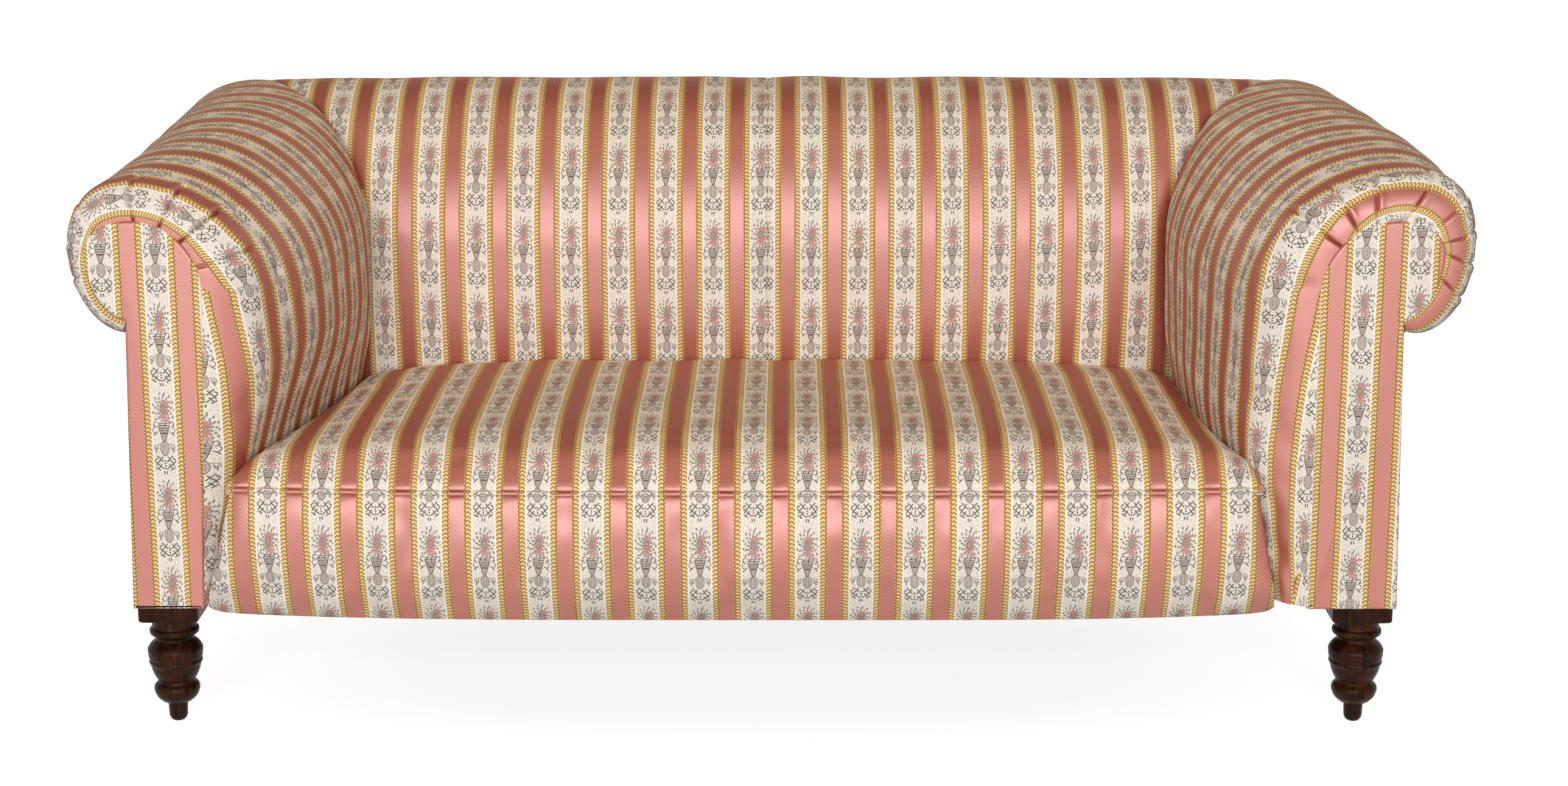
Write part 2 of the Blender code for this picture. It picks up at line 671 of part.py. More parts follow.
def corner_block(name, side, rail_face_y, towards):
    """A glued triangular block in one corner of the seat frame."""
    x, y = FRAME_INNER_X - GAP, rail_face_y + towards * GAP
    z = SEAT_RAIL_Z + (SEAT_RAIL_HEIGHT - CORNER_BLOCK_HEIGHT) / 2
    plan = [(x, y), (x - CORNER_BLOCK_REACH, y), (x, y + towards * CORNER_BLOCK_REACH)]
    rings = [[(side * px, py, level) for px, py in plan] for level in (z, z + CORNER_BLOCK_HEIGHT)]
    return loft(name, rings, BEECH)


def build_frame():
    """Posts, stiles and rails, tenoned together."""
    seat_z = (SEAT_RAIL_Z, SEAT_RAIL_TOP)
    stuffing_z = (STUFFING_RAIL_Z, STUFFING_RAIL_Z + STUFFING_RAIL_HEIGHT)
    half = FRAME_INNER_X - GAP
    front_y = (FRONT_RAIL_Y, FRONT_RAIL_Y + SEAT_RAIL_THICK)
    back_y = (BACK_RAIL_Y, STILE_REAR_Y)
    back_stuffing_y = (STILE_FRONT_Y, STILE_FRONT_Y + STUFFING_RAIL_THICK - TENON_SHOULDER)
    crest_z = (ARM_RAIL_Z + GAP, RAIL_TOP)
    front_rail = timber("front_seat_rail", (-half, half), front_y, seat_z)
    back_rail = timber("back_seat_rail", (-half, half), back_y, seat_z)
    back_stuffing = timber("back_stuffing_rail", (-half, half), back_stuffing_y, stuffing_z)
    crest = timber("crest_rail", (-half, half), (STILE_FRONT_Y, STILE_REAR_Y), crest_z)
    upright_y = (back_stuffing_y[1] + GAP, STILE_REAR_Y)
    upright_span = (-UPRIGHT_WIDTH / 2, UPRIGHT_WIDTH / 2)
    upright = timber("back_centre_upright", upright_span, upright_y, (SEAT_RAIL_TOP + GAP, ARM_RAIL_Z))
    for rail, z in ((back_rail, SEAT_RAIL_TOP), (crest, ARM_RAIL_Z)):
        span = inside(upright_span, TENON_SHOULDER), inside(upright_y, TENON_SHOULDER)
        tenon(upright, rail, (*span, (z - TENON_LENGTH, z + TENON_LENGTH)))
    run = (POST_REAR_Y + GAP, STILE_FRONT_Y - GAP)
    for word, side in (("left", -1), ("right", 1)):
        post = front_post(f"{word}_front_post", side)
        stile = back_stile(f"{word}_back_stile", side)
        rail_span = mirrored_span(side, FRAME_INNER_X, ARM_RAIL_OUTER_X)
        stuffing_span = mirrored_span(side, FRAME_INNER_X, FRAME_INNER_X + STUFFING_RAIL_THICK)
        side_rail = timber(f"{word}_seat_rail", rail_span, run, seat_z)
        stuffing = timber(f"{word}_arm_stuffing_rail", stuffing_span, run, stuffing_z)
        arm_rail = timber(f"{word}_arm_rail", rail_span, (FRONT_RAIL_Y, STILE_REAR_Y), crest_z)
        reach = mirrored_span(side, FRAME_INNER_X - TENON_LENGTH, FRAME_INNER_X + TENON_LENGTH)
        joints = ((front_rail, post, front_y, seat_z), (back_rail, stile, back_y, seat_z),
                  (back_stuffing, stile, back_stuffing_y, stuffing_z),
                  (crest, arm_rail, (STILE_FRONT_Y, STILE_REAR_Y), crest_z))
        for rail, upright_piece, y_span, z_span in joints:
            span = reach, inside(y_span, TENON_SHOULDER), inside(z_span, TENON_SHOULDER)
            tenon(rail, upright_piece, span)
        for rail, x_span, z_span in ((side_rail, rail_span, seat_z), (stuffing, stuffing_span, stuffing_z)):
            near, far = sorted(x_span, key=abs)
            cleared = near + side * (TENON_LENGTH + TENON_SPACING)
            narrow = mirrored_span(1, cleared, far - side * TENON_SPACING)
            for upright_piece, y in ((post, POST_REAR_Y), (stile, STILE_FRONT_Y)):
                span = narrow, (y - TENON_LENGTH, y + TENON_LENGTH), inside(z_span, TENON_SHOULDER)
                tenon(rail, upright_piece, span)
        board = facing_outline(side, SEAM_CLEARANCE)
        outline_loft(f"{word}_scroll_board", board, (BOARD_FRONT_Y, POST_FRONT_Y - GAP), BEECH)
        corner_block(f"{word}_front_corner_block", side, front_y[1], 1)
        corner_block(f"{word}_back_corner_block", side, BACK_RAIL_Y, -1)
        front_leg(f"{word}_front_leg", side)


def strap_edges(centres, low, high):
    """The edges of parallel straps, with the lattice's two ends."""
    edges = [low]
    for centre in centres:
        edges += [centre - WEB_WIDTH / 2, centre + WEB_WIDTH / 2]
    return edges + [high]


def build_webbing():
    """Crossing straps under the seat rails, woven into one lattice."""
    columns = (np.arange(WEB_LENGTHWAYS) - (WEB_LENGTHWAYS - 1) / 2) * WEB_PITCH
    rear = wall_reach(BACK_ROLL, BACK_TUCK_Z) - SPRING_CLEARANCE - SPRING_WIRE - SPRING_END_RADIUS
    rows = rear - np.arange(WEB_CROSSWAYS)[::-1] * WEB_CROSS_PITCH
    x = strap_edges(columns, -FRAME_INNER_X - WEB_LAP, FRAME_INNER_X + WEB_LAP)
    y = strap_edges(rows, FRONT_RAIL_Y + SEAT_RAIL_THICK - WEB_LAP, BACK_RAIL_Y + WEB_LAP)
    shape = bmesh.new()
    posts = [[shape.verts.new((px, py, WEB_TOP_Z)) for py in y] for px in x]
    for i in range(len(x) - 1):
        for j in range(len(y) - 1):
            if i % 2 or j % 2:
                shape.faces.new((posts[i][j], posts[i + 1][j], posts[i + 1][j + 1], posts[i][j + 1]))
    loose = [vert for vert in shape.verts if not vert.link_faces]
    bmesh.ops.delete(shape, geom=loose, context="VERTS")
    mesh = bpy.data.meshes.new("seat_webbing")
    shape.to_mesh(mesh)
    shape.free()
    lattice = place("seat_webbing", mesh, WEBBING)
    thickness = lattice.modifiers.new("thickness", "SOLIDIFY")
    thickness.thickness = WEB_THICK
    thickness.offset = -1
    return columns, rows


def spring_points(x, y):
    """The centre line of a waisted coil spring, wide and level at both ends."""
    low = WEB_TOP_Z + GAP + SPRING_WIRE
    high = SEAT_CANVAS_Z - GAP - SPRING_WIRE
    share = np.linspace(0, 1, SPRING_STEPS * SPRING_TURNS + 1)
    eased = share - SPRING_END_FLATNESS * np.sin(2 * math.pi * share) / (2 * math.pi)
    widening = np.abs(2 * share - 1) ** SPRING_WAIST_POWER
    radius = SPRING_WAIST_RADIUS + (SPRING_END_RADIUS - SPRING_WAIST_RADIUS) * widening
    angle = 2 * math.pi * SPRING_TURNS * share
    z = low + (high - low) * eased
    return np.column_stack((x + radius * np.cos(angle), y + radius * np.sin(angle), z))


def spring_self_gap(points):
    """The least air between turns, between points at least half a turn apart."""
    apart = np.linalg.norm(points[:, None] - points[None], axis=2)
    index = np.arange(len(points))
    near = np.abs(index[:, None] - index[None]) < SPRING_STEPS // 2
    return float(np.where(near, np.inf, apart).min() - 2 * SPRING_WIRE)


def tube(name, points, radius, look, roundness):
    """A wire or cord along a line of points."""
    curve = bpy.data.curves.new(name, "CURVE")
    curve.dimensions = "3D"
    line = curve.splines.new("POLY")
    line.points.add(len(points) - 1)
    for knot, point in zip(line.points, points):
        knot.co = (*point, 1.0)
    curve.bevel_depth = radius
    curve.bevel_resolution = roundness
    curve.use_fill_caps = True
    return place(name, curve, look)


def build_suspension():
    """Webbing, coil springs and the canvases that carry the stuffing."""
    columns, rows = build_webbing()
    skip = (WEB_LENGTHWAYS - SPRING_COLUMNS) // 2
    number = 0
    for x in columns[skip:WEB_LENGTHWAYS - skip]:
        for y in (rows[0], rows[-1]):
            number += 1
            points = spring_points(x, y)
            tube(f"seat_spring_{number:02d}", points, SPRING_WIRE, SPRING_STEEL, 0)
    print(f"least gap between a spring's turns: {1000 * spring_self_gap(points):.2f} mm")
    ends = columns[-1 - skip] + WEB_PITCH / 2
    seat_y = (POST_REAR_Y + SEAT_RAIL_THICK, wall_reach(BACK_ROLL, SEAT_PAD_Z) - SEAT_RAIL_THICK)
    block("seat_canvas", (-ends, ends), seat_y, (SEAT_CANVAS_Z, SEAT_CANVAS_Z + CANVAS_THICK), HESSIAN)
    canvas_z = (STUFFING_RAIL_Z, RAIL_TOP - TENON_SHOULDER)
    half = CANVAS_FACE_X - GAP
    block("back_canvas", (-half, half), (CANVAS_FACE_Y, STILE_FRONT_Y - GAP), canvas_z, HESSIAN)
    for word, side in (("left", -1), ("right", 1)):
        span = mirrored_span(side, CANVAS_FACE_X, FRAME_INNER_X - GAP)
        block(f"{word}_arm_canvas", span, (POST_FRONT_Y, CANVAS_FACE_Y - GAP), canvas_z, HESSIAN)


def build_arms():
    """Arm stuffing, inside covers, facings and outside covers."""
    face, inner = arm_grids()
    under = beneath(face)
    for word, side in (("left", -1), ("right", 1)):
        cover(f"{word}_inside_arm_cover", face, side)
        between(f"{word}_arm_stuffing", under[:, 1:-1], inner[:, 1:-1], HORSEHAIR, side)
        depth = (-FACING_PROUD, FACING_THICK - FACING_PROUD)
        outline_loft(f"{word}_arm_facing", facing_outline(side, 0.0), depth, STRIPE_CLOTH)
        rings = []
        for z in (LEG_HEIGHT, ARM_ROLL.foot_z - CLOTH):
            x = post_face(z) + GAP
            span = mirrored_span(side, x, x + CLOTH)
            rings.append(corners(span, (POST_FRONT_Y, STILE_REAR_Y), z))
        loft(f"{word}_outside_arm_cover", rings, STRIPE_CLOTH)


def build_back():
    """Back stuffing, the two widths of the inside back cover and the outside back cover."""
    run = np.linspace(1, -1, 2 * BACK_STEPS + 1)[1:-1]
    mitre_share = 1 - MITRE_CLEARANCE / FRAME_INNER_X
    face, inner = back_grids(np.concatenate(([1, mitre_share], run, [-mitre_share, -1])))
    between("back_stuffing", beneath(face)[:, 1:-1], inner[:, 1:-1], HORSEHAIR)
    gap = np.array((GAP, 0, 0))
    middle = BACK_STEPS + 1
    halves = (("right", slice(0, middle + 1), -1, gap), ("left", slice(middle, None), 0, -gap))
    for word, columns, seam, shift in halves:
        width = face[:, columns].copy()
        width[:, seam] += shift
        cover(f"{word}_inside_back_cover", width)
    y = STILE_REAR_Y + GAP
    top = BACK_ROLL.foot_z - CLOTH
    width = (-POST_OUTER_X, POST_OUTER_X)
    block("outside_back_cover", width, (y, y + CLOTH), (LEG_HEIGHT, top), STRIPE_CLOTH)


def build_seat():
    """Seat stuffing and cover, the front border with its padding, the welt and the dust cover."""
    top = seat_grid()
    cover("seat_cover", top)
    under = beneath(top)
    floor = under.copy()
    floor[:, :, 2] = SEAT_PAD_Z
    between("seat_stuffing", under, floor, HORSEHAIR)
    front = border_grid()
    pad = beneath(front)
    pad[0, :, 2] = BORDER_TOP_Z
    pad[-1, :, 2] = front[-1, :, 2] + CLOTH + 2 * GAP
    rear = pad.copy()
    rear[:, :, 1] = FRONT_RAIL_Y - GAP
    between("front_border_stuffing", pad, rear, HORSEHAIR)
    hem = front[-1] + np.array((0, BORDER_HEM, 0))
    cover("front_border_cover", np.concatenate((front, hem[None]), axis=0))
    half = wall_reach(ARM_ROLL, WELT_Z + WELT_END_RISE) - SEAM_CLEARANCE
    across = np.linspace(-1, 1, 2 * BACK_STEPS + 1)
    height = WELT_Z + WELT_END_RISE * end_lift(across)
    welt = [(half * share, BORDER_Y - WELT_RADIUS / 2, z) for share, z in zip(across, height)]
    tube("seat_welt", welt, WELT_RADIUS, STRIPE_CLOTH, 1)
    low = WEB_TOP_Z - WEB_THICK - GAP - DUST_COVER_THICK
    narrow, wide = FRAME_INNER_X - SEAM_CLEARANCE, FRAME_INNER_X + WEB_LAP
    behind_leg = LEG_Y + LEG_BLOCK / 2 + SEAM_CLEARANCE
    before_stile = STILE_FRONT_Y - SEAM_CLEARANCE
    stops = (FRONT_RAIL_Y, behind_leg, before_stile, BACK_RAIL_Y + WEB_LAP)
    edge = list(zip((narrow, narrow, wide, wide, narrow, narrow), np.repeat(stops, (1, 2, 2, 1))))
    plan = edge + [(-x, y) for x, y in reversed(edge)]
    rings = [[(x, y, z) for x, y in plan] for z in (low, low + DUST_COVER_THICK)]
    loft("dust_cover", rings, DUST_CLOTH)


build_frame()
build_suspension()
build_arms()
build_back()
build_seat()
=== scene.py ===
"""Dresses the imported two-seat chesterfield sofa: striped satin cover, piping, pleats and turned legs.

Metres, +Z up, front towards -Y. Every soft piece is a profile carried along a path, worked out with
numpy as one array of rings, and a striped cover's UV map holds its thread coordinates in metres.
"""

import logging
import math
from collections.abc import Mapping, Sequence
from dataclasses import dataclass, replace
from enum import Enum

import bpy
import numpy as np
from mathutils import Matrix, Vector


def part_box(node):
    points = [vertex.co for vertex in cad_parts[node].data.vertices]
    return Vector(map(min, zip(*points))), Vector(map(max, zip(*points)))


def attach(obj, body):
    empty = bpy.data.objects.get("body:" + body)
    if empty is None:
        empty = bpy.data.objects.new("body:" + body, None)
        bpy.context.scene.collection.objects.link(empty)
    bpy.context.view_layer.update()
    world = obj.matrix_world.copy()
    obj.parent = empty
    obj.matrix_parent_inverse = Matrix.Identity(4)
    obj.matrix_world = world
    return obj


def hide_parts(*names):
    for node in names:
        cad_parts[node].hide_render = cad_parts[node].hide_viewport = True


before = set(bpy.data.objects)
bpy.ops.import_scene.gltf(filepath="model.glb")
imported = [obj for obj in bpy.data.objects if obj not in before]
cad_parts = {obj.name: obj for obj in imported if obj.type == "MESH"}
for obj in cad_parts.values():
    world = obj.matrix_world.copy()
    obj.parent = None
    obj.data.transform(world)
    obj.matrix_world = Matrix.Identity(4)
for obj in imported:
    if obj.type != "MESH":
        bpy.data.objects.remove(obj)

LOG = logging.getLogger("sofa")
CLOTH_MAP = "cloth"
SHARP = math.radians(50)
Colour = tuple[float, float, float]
Point = tuple[float, float, float]
UP: Point = (0.0, 0.0, 1.0)
FORWARD: Point = (0.0, -1.0, 0.0)
WHITE: Colour = (1.0, 1.0, 1.0)
BLACK: Colour = (0.0, 0.0, 0.0)
WARM: Colour = (1.0, 0.75, 0.50)


class Side(Enum):
    """Which half of the sofa a piece is on, as seen from the front."""

    LEFT = -1
    RIGHT = 1

    @property
    def word(self) -> str:
        """The side's name as the nodes spell it."""
        return self.name.lower()


def linear(red: int, green: int, blue: int) -> Colour:
    """Turns a colour as a screen shows it into the linear values that a shader takes.

    Args:
        red: the screen's red, 0 to 255.
        green: its green.
        blue: its blue.

    Returns:
        The three linear values.
    """
    share = np.array((red, green, blue)) / 255
    straight = np.where(share <= 0.04045, share / 12.92, ((share + 0.055) / 1.055) ** 2.4)
    return tuple(straight.tolist())


class Value:
    """A number that varies over a surface, so that Python operators add Math nodes."""

    def __init__(self, recipe: "Recipe", socket: bpy.types.NodeSocket) -> None:
        """Wraps an output socket of one recipe's tree."""
        self.recipe = recipe
        self.socket = socket

    def math(self, operation: str, *others: "Value | float", clamp: bool = False) -> "Value":
        """Adds a Math node.

        Args:
            operation: the Math node's operation.
            others: its second and third inputs.
            clamp: whether the result is held between 0 and 1.

        Returns:
            The node's result.
        """
        settings = {"operation": operation, "use_clamp": clamp}
        inputs = dict(enumerate((self, *others)))
        return Value(self.recipe, self.recipe.node("ShaderNodeMath", settings, inputs).outputs[0])

    def __add__(self, other: "Value | float") -> "Value":
        """Sum."""
        return self.math("ADD", other)

    __radd__ = __add__

    def __sub__(self, other: "Value | float") -> "Value":
        """Difference."""
        return self.math("SUBTRACT", other)

    def __rsub__(self, other: float) -> "Value":
        """Difference from a number."""
        return (self * -1) + other

    def __mul__(self, other: "Value | float") -> "Value":
        """Product."""
        return self.math("MULTIPLY", other)

    __rmul__ = __mul__

    def __truediv__(self, other: "Value | float") -> "Value":
        """Quotient."""
        return self.math("DIVIDE", other)

    def __pow__(self, other: float) -> "Value":
        """Power."""
        return self.math("POWER", other)

    def __mod__(self, other: float) -> "Value":
        """Remainder that is never negative."""
        return self.math("FLOORED_MODULO", other)

    def __abs__(self) -> "Value":
        """Distance from nought."""
        return self.math("ABSOLUTE")

    def sine(self) -> "Value":
        """Sine of an angle in radians."""
        return self.math("SINE")

    def most(self, other: "Value | float") -> "Value":
        """The larger of two."""
        return self.math("MAXIMUM", other)

    def hypot(self, other: "Value") -> "Value":
        """Length of the arrow with these two legs."""
        return (self * self + other * other).math("SQRT")

    def below(self, edge: "Value | float", soft: float = 0.3) -> "Value":
        """A mask that is 1 under an edge and 0 over it, with a soft border of the given width."""
        return ((edge - self) / soft).math("ADD", 0.5, clamp=True)

    def above(self, edge: "Value | float", soft: float = 0.3) -> "Value":
        """A mask that is 1 over an edge and 0 under it."""
        return ((self - edge) / soft).math("ADD", 0.5, clamp=True)

    def near(self, centre: "Value | float", reach: "Value | float", soft: float = 0.3) -> "Value":
        """A mask that is 1 within a reach of some centre."""
        return abs(self - centre).below(reach, soft)


class Recipe:
    """The node tree of one material, or of the world."""

    def __init__(self, name: str, library: str = "materials") -> None:
        """Starts an empty node tree.

        Args:
            name: the name of what the tree belongs to.
            library: the list in Blender's data that it goes into.
        """
        self.owner = getattr(bpy.data, library).new(name)
        self.owner.use_nodes = True
        self.tree = self.owner.node_tree
        self.tree.nodes.clear()

    def node(self, kind: str, settings: Mapping[str, object] = {}, inputs: Mapping = {}) -> bpy.types.Node:
        """Adds one node.

        Args:
            kind: the node's type name.
            settings: its own properties, set first.
            inputs: values or links for its sockets, by name or by number.

        Returns:
            The new node.
        """
        made = self.tree.nodes.new(kind)
        for key, setting in settings.items():
            setattr(made, key, setting)
        for key, value in inputs.items():
            socket = made.inputs[key]
            if isinstance(value, Value):
                self.tree.links.new(value.socket, socket)
            elif isinstance(value, bpy.types.NodeSocket):
                self.tree.links.new(value, socket)
            elif socket.type == "RGBA" and len(value) == 3:
                socket.default_value = (*value, 1.0)
            else:
                socket.default_value = value
        return made

    def split(self, place: object) -> tuple[Value, Value, Value]:
        """The three parts of a place, as numbers to work with."""
        parts = self.node("ShaderNodeSeparateXYZ", {}, {0: place})
        return tuple(Value(self, part) for part in parts.outputs)

    def mix(self, share: Value | float, first: object, second: object) -> bpy.types.NodeSocket:
        """Blends two colours.

        Args:
            share: how much of the second shows.
            first: a colour, or the socket of one.
            second: a colour, or the socket of one.

        Returns:
            The blended colour's socket.
        """
        made = self.node("ShaderNodeMix", {"data_type": "RGBA"}, {0: share, 6: first, 7: second})
        return made.outputs[2]

    def shade(self, colour: object, amount: Value) -> bpy.types.NodeSocket:
        """A colour made lighter or darker by a factor that varies."""
        made = self.node("ShaderNodeVectorMath", {"operation": "SCALE"}, {0: colour, "Scale": amount})
        return made.outputs[0]

    def noise(self, place: object, scale: float, detail: float = 3.0, roughness: float = 0.5) -> Value:
        """A cloudy number between 0 and 1."""
        inputs = {"Vector": place, "Scale": scale, "Detail": detail, "Roughness": roughness}
        return Value(self, self.node("ShaderNodeTexNoise", {}, inputs).outputs[0])

    def object_place(self) -> bpy.types.NodeSocket:
        """The point's place on the object."""
        return self.node("ShaderNodeTexCoord").outputs["Object"]

    def stretched(self, place: object, scale: Point) -> bpy.types.NodeSocket:
        """A place drawn out along its axes."""
        return self.node("ShaderNodeMapping", {}, {"Vector": place, "Scale": scale}).outputs[0]

    def bump(self, height: Value, distance: float, strength: float = 1.0) -> bpy.types.NodeSocket:
        """The normal of a surface with a fine relief."""
        inputs = {"Height": height, "Distance": distance, "Strength": strength}
        return self.node("ShaderNodeBump", {}, inputs).outputs[0]

    def surface(self, inputs: Mapping) -> bpy.types.NodeSocket:
        """A Principled shader's output."""
        return self.node("ShaderNodeBsdfPrincipled", {}, inputs).outputs[0]

    def finish(self, shader: bpy.types.NodeSocket) -> bpy.types.Material:
        """Joins a shader to the material's output."""
        self.node("ShaderNodeOutputMaterial", {}, {"Surface": shader})
        return self.owner

    def seen(self) -> Value:
        """Tells what is looked at from what only lights.

        Returns:
            1 where the camera, or a reflection or refraction, meets this surface first, and else 0.
        """
        path = self.node("ShaderNodeLightPath")
        rays = [Value(self, path.outputs[f"Is {kind} Ray"]) for kind in ("Camera", "Glossy", "Transmission")]
        return rays[0].most(rays[1]).most(rays[2])


@dataclass(frozen=True)
class StripedSatin:
    """Woven cloth: satin stripes, gold braid bands and cream stripes with an urn and flower drawing.

    Lengths are in millimetres of cloth. The drawing is mirrored about the cream stripe's middle, apart
    from its flowers and leaves.
    """

    period: float = 69.0
    repeat: float = 115.7
    cream_half: float = 15.9
    braid: float = 9.2
    braid_pitch: float = 5.5
    edge_line: float = 1.5
    speckle_scale: float = 0.42
    satin: Colour = linear(160, 82, 62)
    sheen: Colour = linear(255, 209, 207)
    satin_gloss: float = 0.225
    woven_gloss: float = 0.010
    cream: Colour = linear(246, 240, 231)
    edge: Colour = linear(255, 253, 247)
    gold: Colour = linear(190, 147, 72)
    pale_gold: Colour = linear(252, 236, 194)
    braid_dot: Colour = linear(132, 74, 52)
    taupe: Colour = linear(132, 106, 96)
    ink: Colour = linear(44, 35, 31)
    leaf: Colour = linear(80, 77, 62)
    rose: Colour = linear(214, 150, 142)
    petal: Colour = linear(160, 88, 84)
    speckle_share: float = 0.30
    field_share: float = 0.46
    urn_share: float = 0.58
    leaf_share: float = 0.72
    rose_share: float = 0.55
    petal_share: float = 0.75
    line_share: float = 0.86
    blooms: tuple[tuple[float, float, float], ...] = (
        (2.4, 94.5, 4.9), (2.2, 83.0, 4.6), (3.2, 73.4, 4.2), (-2.6, 77.2, 3.2),
    )
    garland: tuple[tuple[tuple[float, float], tuple[float, float], float], ...] = (
        ((2.2, 8.4), (12.8, 18.2), 0.75), ((2.6, 18.0), (9.6, 25.4), 0.75), ((7.0, 7.0), (11.8, 10.0), 0.8),
        ((4.6, 14.6), (8.6, 9.6), 0.7), ((8.0, 18.6), (11.4, 12.6), 0.7), ((3.4, 24.2), (7.2, 18.4), 0.7),
        ((10.2, 22.4), (13.0, 20.0), 0.8),
    )

    def coordinates(self, recipe: Recipe) -> tuple[Value, Value, bpy.types.NodeSocket]:
        """Where a point lies on the cloth.

        Args:
            recipe: the material's tree.

        Returns:
            Millimetres from the nearest cream stripe's middle, millimetres up the drawing's
            repeat, and the map's own socket in millimetres.
        """
        cloth = recipe.node("ShaderNodeUVMap", {"uv_map": CLOTH_MAP}).outputs[0]
        thread = recipe.stretched(cloth, (1000.0, 1000.0, 1000.0))
        across, along, _ = recipe.split(thread)
        half = self.period / 2
        return (across + half) % self.period - half, along % self.repeat, thread

    def stroke(self, x: Value, y: Value, start: Sequence[float], end: Sequence[float], thick: float) -> Value:
        """A drawn line with round ends, where the distance from a straight run is under its thickness.

        Args:
            x: distance across the stripe.
            y: height in the repeat.
            start: the line's first point.
            end: the line's last point.
            thick: half the line's width.

        Returns:
            The line's mask.
        """
        run_x, run_y = end[0] - start[0], end[1] - start[1]
        square = run_x * run_x + run_y * run_y
        from_x, from_y = x - start[0], y - start[1]
        share = (from_x * (run_x / square)).math("ADD", from_y * (run_y / square), clamp=True)
        return (from_x - share * run_x).hypot(from_y - share * run_y).below(thick, 0.5)

    def urn(self, side: Value, y: Value) -> tuple[Value, Value]:
        """The vase, its rim and the curled vine beside it, between 44 and 71 mm up the repeat.

        The foot widens along a straight slope to a waist slot, and the bowl over it is banded. The
        vine beside it is two half rings, where the distance from a centre is near a radius, with sprigs.

        Args:
            side: distance from the stripe's middle.
            y: height in the repeat.

        Returns:
            The masks of the filled body and of the drawn lines.
        """
        share = ((y - 44) / 21).math("ADD", 0.0, clamp=True)
        half = 0.6 + 6.4 * share**0.8
        tall = y.near(54.5, 10.5)
        body = side.below(half) * tall
        bands = (y - 57.5) % 3.0
        lines = (bands.near(1.5, 0.35) * y.near(60, 4) * side.below(half)).most(side.near(half, 0.5) * tall)
        slot = side.below(3.0) * y.near(55.2, 0.8)
        rim = (y.near(66.0, 0.6) * side.below(7.8)).most(y.near(68.4, 0.5) * side.below(6.4))
        upper = (side - 9.6).hypot(y - 67.4).near(3.0, 0.5) * (side + y).above(76.0)
        lower = (side - 10.6).hypot(y - 59.4).near(3.6, 0.5) * (side - y).above(-50.6)
        sprig = self.stroke(side, y, (9.4, 63.0), (13.4, 65.4), 0.6)
        sprig = sprig.most(self.stroke(side, y, (9.8, 55.8), (13.0, 52.6), 0.7))
        return body, lines.most(slot).most(rim).most(upper).most(lower).most(sprig)

    def shield(self, side: Value, y: Value) -> tuple[Value, Value]:
        """The oval cartouche under the vase and the drooping stems beside it, 24 to 45 mm up the repeat.

        Args:
            side: distance from the stripe's middle.
            y: height in the repeat.

        Returns:
            The masks of the filled field and of the drawn lines.
        """
        away = (side / 5.4).hypot((y - 35.5) / 9.2)
        ribs = side.near(2.0, 0.45) * away.below(0.8)
        swag = self.stroke(side, y, (5.2, 41.0), (12.6, 39.4), 0.5)
        swag = swag.most(self.stroke(side, y, (12.6, 39.4), (13.6, 34.0), 0.5))
        leaf = self.stroke(side, y, (8.0, 38.0), (9.6, 33.6), 0.8)
        leaf = leaf.most(self.stroke(side, y, (11.2, 36.6), (11.0, 30.4), 0.8))
        lines = away.near(1.0, 0.09, 0.08) * 0.7
        return away.below(1.0, 0.08), lines.most(ribs * 0.5).most(swag * 0.8).most(leaf * 0.8)

    def sprays(self, side: Value, x: Value, y: Value) -> Value:
        """The leafy garland, the string of beads and the pair of bars under the cartouche.

        The garland is drawn line by line.

        Args:
            side: distance from the stripe's middle.
            x: signed distance from the stripe's middle.
            y: height in the repeat.

        Returns:
            The mask of the drawn lines.
        """
        beads = x.hypot((y - 7.4) % 3.3 - 1.65).below(1.1, 0.5) * y.near(14.0, 6.6)
        lines = beads.most(side.near(1.5, 0.75) * y.near(3.4, 2.1))
        for start, end, thick in self.garland:
            lines = lines.most(self.stroke(side, y, start, end, thick))
        return lines

    def posy(self, recipe: Recipe, x: Value, y: Value, thread: object) -> tuple[Value, Value, Value]:
        """The flowers over the vase, between 69 and 112 mm up the repeat.

        A flower is a disc whose rim waves five times round and whose petals are rings. Leaves are
        short needles that point away from the posy's middle: rings of staggered spokes, a little
        disturbed, inside an upright oval.

        Args:
            recipe: the material's tree.
            x: signed distance from the stripe's middle.
            y: height in the repeat.
            thread: the cloth's place in millimetres.

        Returns:
            The masks of the flowers, of their drawn petals and of the leaves.
        """
        flowers: Value | None = None
        petals: Value | None = None
        for centre_x, centre_y, radius in self.blooms:
            right, up = x - centre_x, y - centre_y
            away = right.hypot(up)
            wave = (right.math("ARCTAN2", up) * 5).sine() * 0.7
            disc = (away + wave).below(radius, 0.8)
            ring = abs((away * 1.5 + wave).sine()).below(0.45, 0.3) * disc
            flowers = disc if flowers is None else flowers.most(disc)
            petals = ring if petals is None else petals.most(ring)
        right, up = x - 0.5, (y - 87) / 1.6
        spread = right.hypot(up) + recipe.noise(thread, 0.16, 1.0) * 3.0
        ring_number = (spread / 3.3).math("FLOOR")
        spoke = abs((right.math("ARCTAN2", up) * 6.5 + ring_number * 2.1).sine()) * spread / 6.5
        needles = spoke.below(0.95, 0.4) * (spread % 3.3).near(1.65, 1.4)
        buds = (x + 1.8).hypot(y - 89.4).below(1.3, 0.6).most((x - 1.4).hypot(y - 105.6).below(1.2, 0.6))
        bounds = (abs(x) / 14.2).below(1.0, 0.08) * spread.below(16.0, 0.6)
        return flowers, petals, (needles * bounds).most(buds)

